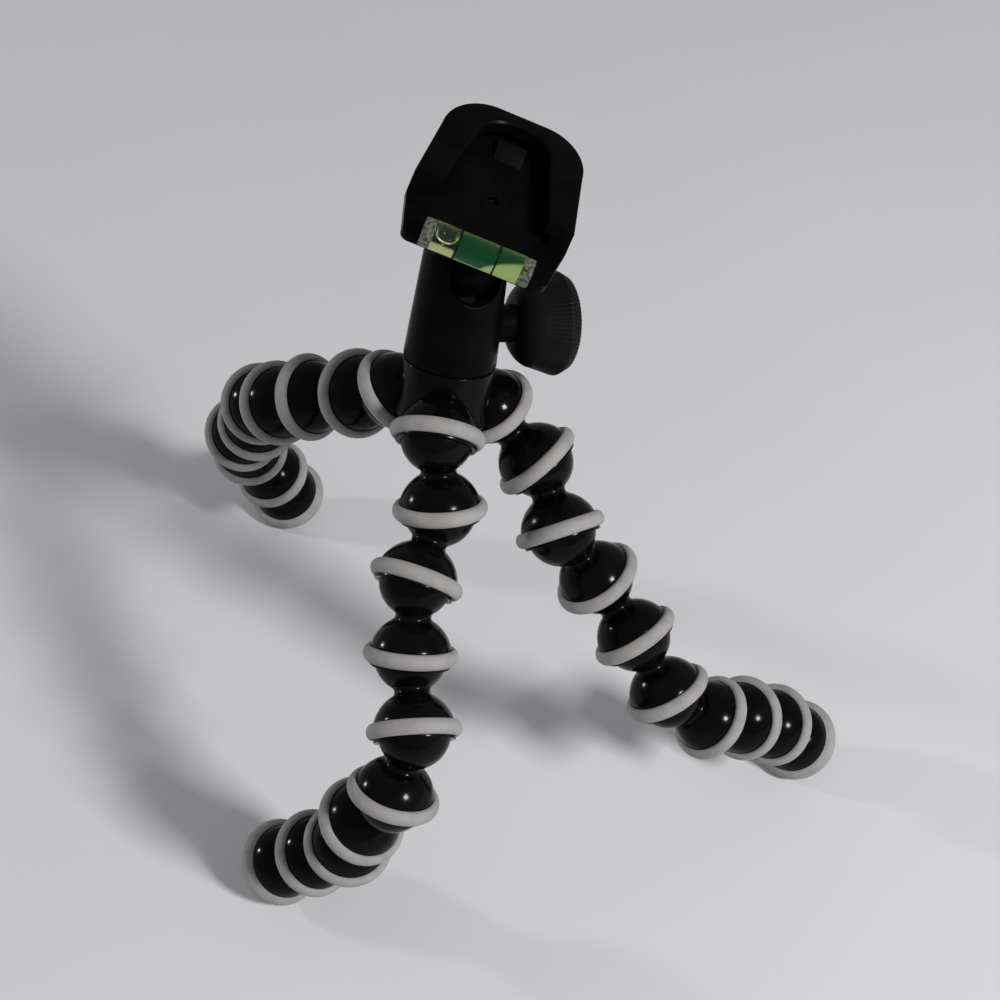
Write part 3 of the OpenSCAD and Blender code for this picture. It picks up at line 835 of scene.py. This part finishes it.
@dataclass
class Hub:
    """The hub with its three sockets and rings, and the pan base on it."""

    sizes: BallSocket
    socket_out: float = 16.0
    splay: float = 40.0
    collar_r: float = 13.0
    shoulder: float = 1.0
    top: float = 11.3
    floor: float = 5.0
    ring_room: float = 0.5
    pan_r: float = 13.0
    pan_h: float = 5.2
    pan_soft: float = 0.3
    screw_r: float = 3.1
    pan_edges: int = 4
    room_edges: int = 32
    steps: int = 96

    def frame_of(self) -> Matrix:
        """Gives the hub's frame: +Z along the pan axis and +X towards the first leg's socket."""
        sockets = [point_of(f"{leg}_bend_1") for leg in LEGS]
        middle = sum(sockets, Vector()) / len(sockets)
        return standing(middle, axis_of("head_pan"), sockets[0] - middle)

    def socket_frame(self, number: int) -> Matrix:
        """Gives a socket's frame inside the hub's, in millimetres, with +Z out of its mouth."""
        turn = Matrix.Rotation(math.tau * number / len(LEGS), 4, "Z")
        lean = Matrix.Rotation(math.radians(180.0 - self.splay), 4, "Y")
        return turn @ Matrix.Translation((self.socket_out, 0.0, 0.0)) @ lean

    def build(self) -> None:
        """Models and dresses the hub's pieces."""
        place = self.frame_of()
        piece("hub_moulding", self.moulding(), place, "gloss", "hub", "hub_body")
        for number, leg in enumerate(LEGS):
            ring = moved(self.sizes.ring(), self.socket_frame(number))
            piece(f"hub_ring_{leg}", ring, place, "rubber", "hub", "hub_rings")
        soft_h = self.pan_h - self.pan_soft
        base = Lathe(self.screw_r, 0.0).line(self.pan_r, 0.0).line(self.pan_r, soft_h)
        base.arc((self.pan_r - self.pan_soft, soft_h), 90.0, self.pan_edges)
        base.line(self.screw_r, self.pan_h).line(self.screw_r, 0.0)
        piece("pan_base_ring", raised(base.spin(self.steps), self.top), place, "gloss", "hub", "pan_base")
        paint("pan_washer", "black_steel")
        paint("pan_screw", "steel")

    def moulding(self) -> Shape:
        """Models the collar, the three bells and the rooms for their rings and balls."""
        sizes = self.sizes
        collar = Lathe(0.0, -self.floor).line(self.socket_out - sizes.neck_r, -self.floor)
        collar.line(self.collar_r + self.shoulder, self.shoulder).line(self.collar_r, self.top / 2)
        collar.line(self.collar_r, self.top).line(0.0, self.top)
        room_low = -sizes.ring_lift - sizes.ring_w / 2 - self.ring_room
        room_r = sizes.ring_r + self.ring_room
        tools = []
        for number in range(len(LEGS)):
            room = rod(room_r, room_low, 2 * self.pan_r)
            tools.append((Cut.TAKE, moved(room, self.socket_frame(number))))
        for number in range(len(LEGS)):
            bell = sizes.socket(Lathe(0.0, -sizes.bell_r), 0.0, 90.0)
            tools.append((Cut.ADD, moved(bell.spin(sizes.steps, sizes.soft), self.socket_frame(number))))
        for number in range(len(LEGS)):
            ball = Lathe(0.0, -sizes.cavity_r).arc((0.0, 0.0), 180.0, self.room_edges)
            tools.append((Cut.TAKE, moved(ball.spin(), self.socket_frame(number))))
        return carved(collar.spin(self.steps), tools)


@dataclass
class BallHead:
    """The ball head's housing, its retaining ring and what works inside it."""

    foot_r: float = 13.1
    rim_r: float = 11.6
    foot_z: float = 17.0
    ball_h: float = 28.0
    rim_h: float = 4.6
    floor: float = 4.0
    screw_room: float = 3.2
    bore_r: float = 9.12
    retainer_r: float = 10.12
    retainer_h: float = 3.0
    slot_w: float = 15.0
    knob_h: float = 10.5
    boss_r: float = 5.4
    boss_reach: float = 16.4
    lock_room: float = 3.1
    soft: float = 0.35
    steps: int = 128
    boss_steps: int = 64
    hole_steps: int = 48
    slot_steps: int = 64

    def frame_of(self, hub: Matrix) -> Matrix:
        """Gives the head's frame: the hub's origin and axis, with +X along the knob."""
        low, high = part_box("lock_knob")
        outwards = (low + high) / 2 - hub.translation
        along = axis_of("lock_turn")
        return standing(hub.translation, axis_of("head_pan"), along * math.copysign(1.0, along.dot(outwards)))

    def slot_shape(self, half: float) -> Shape:
        """Models the room of the drop slot, out along -Y from the ball's centre."""
        shape = bmesh.new()
        bmesh.ops.create_circle(shape, cap_ends=True, radius=half, segments=self.slot_steps)
        moved(shape, Matrix.Rotation(math.pi / 2, 4, "X"))
        bmesh.ops.translate(shape, vec=(0.0, -3 * self.foot_r, 0.0), verts=pulled(shape))
        for vert in shape.verts:
            if vert.co.z > 0.0:
                vert.co.z += 3 * half
        return tidied(shape)

    def build(self, place: Matrix) -> None:
        """Models and dresses the head's pieces in its frame."""
        top = self.ball_h + self.rim_h
        tube = Lathe(self.screw_room, 0.0).line(self.foot_r, 0.0).line(self.rim_r, top)
        tube.line(self.retainer_r, top).line(self.retainer_r, top - self.retainer_h)
        tube.line(self.bore_r, top - self.retainer_h).line(self.bore_r, self.floor)
        tube.line(self.screw_room, self.floor).line(self.screw_room, 0.0)
        boss = rod(self.boss_r, 0.0, self.boss_reach, self.boss_steps)
        hole = rod(self.lock_room, 0.0, 2 * self.boss_reach, self.hole_steps)
        sideways = Matrix.Translation((0.0, 0.0, self.knob_h)) @ Matrix.Rotation(math.pi / 2, 4, "Y")
        shape = carved(tube.spin(self.steps), [
            (Cut.ADD, moved(boss, sideways)),
            (Cut.TAKE, rod(self.bore_r, self.floor, top, self.steps)),
            (Cut.TAKE, moved(hole, sideways)),
            (Cut.TAKE, raised(self.slot_shape(self.slot_w / 2), self.ball_h)),
        ])
        raised(tidied(shape, self.soft), self.foot_z)
        piece("housing_shell", shape, place, "satin", "head", "housing")
        paint("retainer_ring", "satin")
        paint("pressure_cup", "steel")


@dataclass
class LockKnob:
    """The lock knob: a swollen back, a tapered grip with fine flutes, and a cap in its end."""

    axis_z: float = 27.5
    start: float = 16.7
    neck_r: float = 6.4
    back: float = 4.6
    back_r: float = 12.2
    band: float = 8.0
    edge: float = 2.9
    edge_in: float = 1.5
    edge_soft: float = 0.3
    rim_r: float = 14.8
    swell: float = 0.8
    back_edges: int = 18
    rows: int = 8
    flutes: int = 72
    flute_steps: int = 8
    flute_depth: float = 0.14
    flute_share: float = 0.3
    cap_r: float = 11.6
    cap_fit: float = 0.05
    cap_h: float = 1.2
    dish: float = 0.82
    dish_slope: float = 0.5
    dish_h: float = 0.33
    cap_soft: float = 0.15
    cap_steps: int = 96
    screw_r: float = 3.0

    def build(self, head: Matrix) -> None:
        """Models and dresses the knob, and paints its screw."""
        place = head @ Matrix.Translation((0.0, 0.0, self.axis_z * MM)) @ Matrix.Rotation(math.pi / 2, 4, "Y")
        place = place @ Matrix.Translation((0.0, 0.0, self.start * MM))
        piece("lock_knob_grip", self.grip(), place, "knob", "knob", "lock_knob")
        piece("lock_knob_cap", self.cap(), place, "knob", "knob", "knob_cap")
        paint("lock_screw", "steel")

    def grip(self) -> Shape:
        """Models the knob's body, with flutes that deepen towards its rim."""
        rim = self.back + self.band
        end = rim + self.edge
        room_r = self.cap_r + self.cap_fit
        centre, turn = self.back_arc()
        lathe = Lathe(self.screw_r, 0.0).line(self.neck_r, 0.0).arc(centre, turn, self.back_edges)
        for row in range(1, self.rows + 1):
            share = row / self.rows
            lathe.line(self.back_r + (self.rim_r - self.back_r) * share, self.back + self.band * share)
        lathe.line(self.rim_r - self.edge_in, end)
        lathe.line(room_r, end).line(room_r, end - self.cap_h).line(0.0, end - self.cap_h)
        lathe.line(0.0, rim).line(self.screw_r, rim).line(self.screw_r, 0.0)
        shape = lathe.spin(self.flutes * self.flute_steps, self.edge_soft)
        for vert in shape.verts:
            radius = math.hypot(vert.co.x, vert.co.y)
            if radius > self.back_r and vert.co.z > self.back:
                phase = math.atan2(vert.co.y, vert.co.x) / math.tau * self.flutes
                across = abs(phase - round(phase)) / self.flute_share
                depth = self.flute_depth * min((vert.co.z - self.back) / self.band, 1.0)
                vert.co.xy *= 1.0 - depth * max(0.0, 1.0 - across * across) / radius
        return shape

    def back_arc(self) -> tuple[Point, float]:
        """Finds the arc of the swollen back, from its neck to the grip.

        Returns:
            The radius and height of the arc's centre, and its turn in degrees.
        """
        out = self.back_r - self.neck_r
        chord = math.hypot(out, self.back)
        radius = chord * chord / (8 * self.swell) + self.swell / 2
        lean = (radius - self.swell) / chord
        centre = (self.neck_r + out / 2 - self.back * lean, self.back / 2 + out * lean)
        return centre, 2 * math.degrees(math.asin(chord / 2 / radius))

    def cap(self) -> Shape:
        """Models the cap, with a shallow dish in its face."""
        end = self.back + self.band + self.edge
        dish = self.cap_r * self.dish
        lathe = Lathe(0.0, end - self.cap_h).line(self.cap_r, end - self.cap_h).line(self.cap_r, end)
        lathe.line(dish, end).line(dish - self.dish_slope, end - self.dish_h).line(0.0, end - self.dish_h)
        return lathe.spin(self.cap_steps, self.cap_soft)


@dataclass
class Clamp:
    """The ball with its stem, the clamp for a camera plate, its bolt and its latch."""

    ball_r: float = 9.0
    stem_r: float = 3.5
    flange_r: float = 7.5
    flange_h: float = 1.6
    under: float = 22.5
    floor: float = 3.0
    bolt_r: float = 2.2
    bolt_head_r: float = 4.0
    bolt_l: float = 9.0
    bolt_fit: float = 0.05
    bolt_soft: float = 0.08
    hex_r: float = 1.7
    hex_depth: float = 1.4
    width: float = 44.0
    back_w: float = 39.5
    nose_w: float = 39.5
    length: float = 49.0
    front: float = 22.5
    shoulder: float = 8.0
    back_round: float = 13.0
    nose_round: float = 2.5
    rail_h: float = 7.0
    channel_w: float = 29.0
    channel_back_w: float = 21.0
    channel_round: float = 9.0
    back_wall: float = 4.4
    lip_over: float = 2.0
    undercut_h: float = 3.4
    rail_end: float = 6.5
    rail_slope: float = 1.5
    shelf: float = 1.4
    level_y: float = -17.65
    level_half: float = 14.9
    latch_w: float = 8.0
    latch_l: float = 6.0
    latch_y: float = 17.5
    latch_fit: float = 0.15
    guide_h: float = 6.0
    guide_wall: float = 1.6
    guide_soft: float = 0.3
    post_r: float = 1.2
    post_steps: int = 32
    soft: float = 0.7
    lip_soft: float = 0.4
    tab_soft: float = 0.2
    ball_soft: float = 0.2
    ball_edges: int = 40
    ball_steps: int = 80
    bolt_steps: int = 64
    over: float = 1.0
    near: float = 0.02

    def frame_of(self) -> Matrix:
        """Gives the clamp's frame: the ball's centre, +Z along the stem and -Y out of the open end."""
        up = -axis_of("latch_slide")
        forward = -Vector(MOUNTS["plate_channel"]["axis"])
        return standing(point_of("head_tilt"), up, forward.cross(up))

    def build(self, place: Matrix) -> None:
        """Models and dresses the clamp's pieces."""
        piece("ball_and_stem", self.ball(), place, "satin", "clamp", "head_ball")
        piece("clamp_shell", self.shell(), place, "satin", "clamp", "clamp_body")
        tab = tidied(node_copy("latch", place), self.tab_soft)
        piece("latch_tab", tab, place, "tab", "latch", "latch")
        piece("clamp_screw", self.bolt(), place, "black_steel", "clamp", "clamp_bolt")
        for node in ("latch_spring", "latch_nut"):
            paint(node, "steel")

    def ball(self) -> Shape:
        """Models the ball, its stem with a bolt hole and its flange."""
        meet = math.degrees(math.acos(self.stem_r / self.ball_r))
        stem_h = math.sqrt(self.ball_r ** 2 - self.stem_r ** 2)
        hole_r = self.bolt_r + self.bolt_fit
        hole_h = self.under + self.floor - self.bolt_l
        lathe = Lathe(0.0, -self.ball_r).arc((0.0, 0.0), 90.0 + meet, self.ball_edges)
        lathe.line(self.stem_r, max(stem_h, self.under - self.flange_h))
        lathe.line(self.flange_r, self.under - self.flange_h).line(self.flange_r, self.under)
        lathe.line(hole_r, self.under).line(hole_r, hole_h).line(0.0, hole_h)
        return lathe.spin(self.ball_steps, self.ball_soft)

    def outline(self) -> list[Point]:
        """Gives the clamp's outline: a round back, wider shoulders and a narrower open end."""
        nose = self.nose_w / 2 - self.nose_round
        nose_y = self.nose_round - self.front
        return [
            *round_end(self.back_w / 2, self.length - self.front, self.back_round),
            (-self.width / 2, -self.shoulder),
            *corner(-nose, nose_y, self.nose_round, 180.0),
            *corner(nose, nose_y, self.nose_round, 270.0),
            (self.width / 2, -self.shoulder),
        ]

    def channel(self, outside: float) -> list[Point]:
        """Gives the outline of the plate's channel, some way outside the lips."""
        half = self.channel_w / 2 + outside
        inner_end = self.length - self.front - self.back_wall + outside
        return [
            *round_end(self.channel_back_w / 2 + outside, inner_end, self.channel_round),
            (-half, -self.rail_end), (-half, -2 * self.front),
            (half, -2 * self.front), (half, -self.rail_end),
        ]

    def shell(self) -> Shape:
        """Models the clamp: floor, undercut rails that run together behind, and the room for the level."""
        top = self.under + self.floor
        crown = top + self.rail_h
        wide = 2 * self.width
        lips = self.channel(0.0)
        flared = self.channel(2 * self.lip_soft)
        undercut = self.channel(self.lip_over)
        room = self.latch_w / 2 + self.latch_fit
        reach = self.latch_l / 2 + self.latch_fit
        guide_x = self.latch_w / 2 + self.guide_wall
        guide_y = self.latch_l / 2 + self.guide_wall
        ramp = [
            (-wide, 0.0), (-self.rail_end - self.rail_slope, 0.0), (-self.rail_end, self.rail_h),
            (-self.rail_end, wide), (-wide, wide),
        ]
        sideways = Matrix.Translation((0.0, 0.0, top)) @ Matrix(((0, 0, 1), (1, 0, 0), (0, 1, 0))).to_4x4()
        bolt_r = self.bolt_r + self.bolt_fit
        head_r = self.bolt_head_r + self.bolt_fit
        bolt_room = Lathe(0.0, 0.0).line(bolt_r, 0.0).line(bolt_r, top - self.bolt_head_r + self.bolt_r)
        bolt_room.line(head_r, top).line(head_r, crown).line(0.0, crown)
        post_room = rod(self.post_r + self.latch_fit, 0.0, top, self.post_steps)
        shape = carved(prism(self.outline(), self.under, self.outline(), crown, self.soft), [
            (Cut.ADD, block((-guide_x, self.latch_y - guide_y, self.under - self.guide_h),
                            (guide_x, self.latch_y + guide_y, self.under + self.over), self.guide_soft)),
            (Cut.TAKE, prism(undercut, top, undercut, top + self.undercut_h)),
            (Cut.TAKE, prism(lips, top, lips, crown + self.over)),
            (Cut.TAKE, prism(lips, crown - self.lip_soft, flared, crown + self.lip_soft)),
            (Cut.TAKE, moved(prism(ramp, -wide, ramp, wide), sideways)),
            (Cut.TAKE, block((-self.level_half, -wide, self.under + self.shelf),
                             (self.level_half, self.level_y, crown + wide))),
            (Cut.TAKE, bolt_room.spin(self.bolt_steps)),
            (Cut.TAKE, block((-room, self.latch_y - reach, self.under - self.guide_h + self.guide_wall),
                             (room, self.latch_y + reach, top + self.over))),
            (Cut.TAKE, moved(post_room, Matrix.Translation((0.0, self.latch_y, 0.0)))),
        ])
        return self.softened_ends(shape, crown)

    def softened_ends(self, shape: Shape, crown: float) -> Shape:
        """Softens the upper edge of each rail's front end.

        Args:
            shape: The carved clamp.
            crown: Height of the rails' upper face.

        Returns:
            The same shape.
        """
        bmesh.ops.remove_doubles(shape, verts=shape.verts, dist=NEAR)
        bmesh.ops.dissolve_degenerate(shape, edges=shape.edges, dist=NEAR)

        def at_end(vert: bmesh.types.BMVert) -> bool:
            """Tells whether a point lies on the upper edge of a rail's front end."""
            return abs(vert.co.y + self.rail_end) < self.near and abs(vert.co.z - crown) < self.near

        edges = [edge for edge in shape.edges if all(at_end(vert) for vert in edge.verts)]
        rounded(shape, edges, self.lip_soft, held=True)
        return shape

    def bolt(self) -> Shape:
        """Models the countersunk bolt with a hexagon socket in its head."""
        top = self.under + self.floor
        lathe = Lathe(0.0, top - self.bolt_l).line(self.bolt_r, top - self.bolt_l)
        lathe.line(self.bolt_r, top - self.bolt_head_r + self.bolt_r)
        lathe.line(self.bolt_head_r, top).line(0.0, top)
        socket = bmesh.new()
        bmesh.ops.create_circle(socket, cap_ends=True, radius=self.hex_r, segments=6)
        bmesh.ops.translate(socket, vec=(0.0, 0.0, 2 * self.hex_depth), verts=pulled(socket))
        raised(tidied(socket), top - self.hex_depth)
        return tidied(carved(lathe.spin(self.bolt_steps), [(Cut.TAKE, socket)]), self.bolt_soft)


@dataclass
class Level:
    """The level at the clamp's open end: tube, plugs, lines, liquid and its bubble."""

    tube_r: float = 3.8
    wall: float = 0.8
    length: float = 29.5
    plug: float = 3.0
    at_y: float = -21.6
    at_z: float = 27.75
    fit: float = 0.03
    line_w: float = 0.5
    line_gap: float = 10.4
    line_proud: float = 0.03
    bubble_at: float = 6.3
    bubble_rise: float = 1.35
    bubble_half: Spot = (1.75, 2.3, 3.05)
    bubble_edges: int = 24
    lit_ends: Spot = (9.0, 17.0, 26.5)
    lit_turns: Spot = (72.0, 125.0, 12.0)
    lit_fade: float = 14.0
    lit_stop: float = 150.0
    tube_soft: float = 0.18
    plug_soft: float = 0.2
    steps: int = 96
    rows: int = 40

    def build(self, clamp: Matrix) -> None:
        """Models and dresses the level's pieces."""
        start = Matrix.Translation((-self.length / 2 * MM, self.at_y * MM, self.at_z * MM))
        place = clamp @ start @ Matrix.Rotation(math.pi / 2, 4, "Y")
        inner = self.tube_r - self.wall
        shape = pipe(inner, self.tube_r, 0.0, self.length, self.steps, self.tube_soft)
        for face in shape.faces:
            face.material_index = int(face.calc_center_median().xy.length < inner + self.fit)
        piece("level_tube", shape, place, "clear", "clamp", "vial_tube", others=("core",))
        radius = inner - self.fit
        for side, low in (("left", 0.0), ("right", self.length - self.plug)):
            plug = rod(radius, low, low + self.plug, self.steps, self.plug_soft)
            piece(f"level_plug_{side}", plug, place, "milky", "clamp", "vial_plugs")
        fill = self.liquid(radius, place)
        piece("level_fill", fill, place, "liquid", "clamp", "vial_liquid", others=("bubble", "thin_liquid"))
        for side, sign in (("left", -1.0), ("right", 1.0)):
            piece(f"level_line_{side}", self.line_band(sign), place, "line", "clamp")

    def line_band(self, sign: float) -> Shape:
        """Models one of the two lines round the tube."""
        low = self.length / 2 + sign * self.line_gap / 2 - self.line_w / 2
        outer = self.tube_r + self.line_proud
        inner = self.tube_r - self.line_proud
        return pipe(inner, outer, low, low + self.line_w, self.steps)

    def liquid(self, radius: float, place: Matrix) -> Shape:
        """Models the liquid with the bubble's room along its upper side.

        Args:
            radius: The liquid's radius.
            place: The tube's frame.

        Returns:
            The liquid, with material index 1 on the bubble's skin and 2 on the thin end round it.
        """
        low = self.plug + self.fit
        high = self.length - low
        up = place.to_3x3().inverted() @ Vector((0.0, 0.0, 1.0))
        rise = Matrix.Rotation(math.atan2(up.y, up.x), 4, "Z")
        bubble = bmesh.new()
        bmesh.ops.create_uvsphere(
            bubble, u_segments=2 * self.bubble_edges, v_segments=self.bubble_edges, radius=1.0)
        middle = rise @ Matrix.Translation((self.bubble_rise, 0.0, self.bubble_at))
        moved(bubble, middle @ Matrix.Diagonal((*self.bubble_half, 1.0)))
        body = Lathe(0.0, low)
        for row in range(self.rows + 1):
            body.line(radius, low + (high - low) * row / self.rows)
        shape = carved(body.line(0.0, high).spin(self.steps), [(Cut.TAKE, bubble)])
        for face in shape.faces:
            spot = face.calc_center_median()
            on_skin = spot.xy.length > radius - self.fit or not low + self.fit < spot.z < high - self.fit
            thin = spot.z < (self.length - self.line_gap) / 2
            face.material_index = 1 if not on_skin else 2 * thin
        # painted light: each point's share of the glow that stands in for light gathered along the open side
        layer = shape.verts.layers.float.new(PAINTED_LIGHT_SIDE)
        for vert in shape.verts:
            vert[layer] = self.lit(vert.co)
        return shape

    def lit(self, spot: Vector) -> float:
        """Tells how much painted glow, standing in for light gathered in the liquid, a point of the liquid
        shows.

        Args:
            spot: The point, in the tube's frame.

        Returns:
            A share from 0 to 1. It is 1 along the open side, over a width that changes along the tube.
        """
        left, middle, right = self.lit_ends
        turn = math.degrees(math.atan2(-spot.y, -spot.x))
        if spot.z < left:
            edge = self.lit_turns[0]
        else:
            along = min(max((spot.z - middle) / (right - middle), 0.0), 1.0)
            edge = self.lit_turns[1] + (self.lit_turns[2] - self.lit_turns[1]) * math.sqrt(along)
        share = min(max((turn - edge) / self.lit_fade, 0.0), 1.0)
        return share if turn < self.lit_stop else 0.0


@dataclass
class Studio:
    """The pale floor, the soft lights and the camera."""

    floor_half: float = 3.0
    floor_colour: Colour = (0.56, 0.56, 0.575)
    floor_paler: float = 1.04
    floor_patch: float = 90.0
    floor_detail: float = 2.0
    floor_roughness: float = 0.85
    key_from: Spot = (1.03, -0.81, 0.92)
    key_size: float = 0.26
    key_power: float = 28.0
    fill_from: Spot = (-1.51, 0.4, 0.33)
    fill_size: float = 0.11
    fill_power: float = 8.0
    camera_from_hub: Spot = (0.01703, -0.3702, 0.3554)
    camera_drop: float = 46.56
    camera_roll: float = 0.99
    focal_pixels: float = 1818.8
    sensor: float = 36.0
    clip: float = 0.01
    sky: Colour = (0.97, 0.98, 1.0)
    sky_strength: float = 0.32

    def build(self, hub: Matrix) -> None:
        """Sets the stage round the tripod."""
        self.build_floor()
        self.build_lights(hub.translation)
        self.build_camera(hub.translation)
        bpy.context.scene.view_settings.view_transform = "Standard"

    def build_floor(self) -> None:
        """Lays the pale floor, with a faint unevenness in its colour."""
        shape = bmesh.new()
        bmesh.ops.create_grid(shape, x_segments=1, y_segments=1, size=self.floor_half)
        mesh = mesh_of("floor", shape)
        board = Board("pale_floor")
        patches = board.noise(self.floor_patch, self.floor_detail)
        paler = tuple(part * self.floor_paler for part in self.floor_colour)
        board.join(board.mix(patches, self.floor_colour, paler), "Base Color")
        board.fix(Roughness=self.floor_roughness)
        mesh.materials.append(board.material)
        floor = linked("floor", mesh)

    def lamp(self, name: str, target: Vector, offset: Spot, size: float, power: float) -> None:
        """Hangs a square soft light.

        Args:
            name: The light's name.
            target: The point that it faces.
            offset: Its place from that point, in metres.
            size: Its side, in metres.
            power: Its power in watts.
        """
        data = bpy.data.lights.new(name, "AREA")
        data.size = size
        data.energy = power
        made = linked(name, data)
        place = Vector(offset)
        made.location = target + place
        made.rotation_mode = "QUATERNION"
        made.rotation_quaternion = (-place).to_track_quat("-Z", "Y")

    def build_lights(self, target: Vector) -> None:
        """Hangs the lights and sets the sky."""
        self.lamp("key", target, self.key_from, self.key_size, self.key_power)
        self.lamp("fill", target, self.fill_from, self.fill_size, self.fill_power)
        world = bpy.data.worlds.new("sky")
        world.use_nodes = True
        sky = world.node_tree.nodes["Background"]
        sky.inputs["Color"].default_value = (*self.sky, 1.0)
        sky.inputs["Strength"].default_value = self.sky_strength
        bpy.context.scene.world = world

    def build_camera(self, hub: Vector) -> None:
        """Sets the camera at the photograph's angle."""
        data = bpy.data.cameras.new("camera")
        data.sensor_width = self.sensor
        data.lens = self.focal_pixels * self.sensor / PICTURE
        data.clip_start = self.clip
        camera = linked("camera", data)
        turn = Matrix.Rotation(math.radians(90.0 - self.camera_drop), 4, "X")
        roll = Matrix.Rotation(math.radians(self.camera_roll), 4, "Z")
        place = Matrix.Translation(hub + Vector(self.camera_from_hub))
        camera.matrix_world = place @ turn @ roll
        bpy.context.scene.camera = camera


def main() -> None:
    """Builds the tripod's pieces in order, then the studio."""
    logging.basicConfig(level=logging.INFO, format="%(message)s")
    sizes = BallSocket()
    for name in LEGS:
        Leg(name, sizes).build()
    hub = Hub(sizes)
    hub.build()
    head = BallHead()
    head_frame = head.frame_of(hub.frame_of())
    head.build(head_frame)
    LockKnob().build(head_frame)
    clamp = Clamp()
    clamp_frame = clamp.frame_of()
    clamp.build(clamp_frame)
    Level().build(clamp_frame)
    Studio().build(hub.frame_of())


if __name__ == "__main__":
    main()
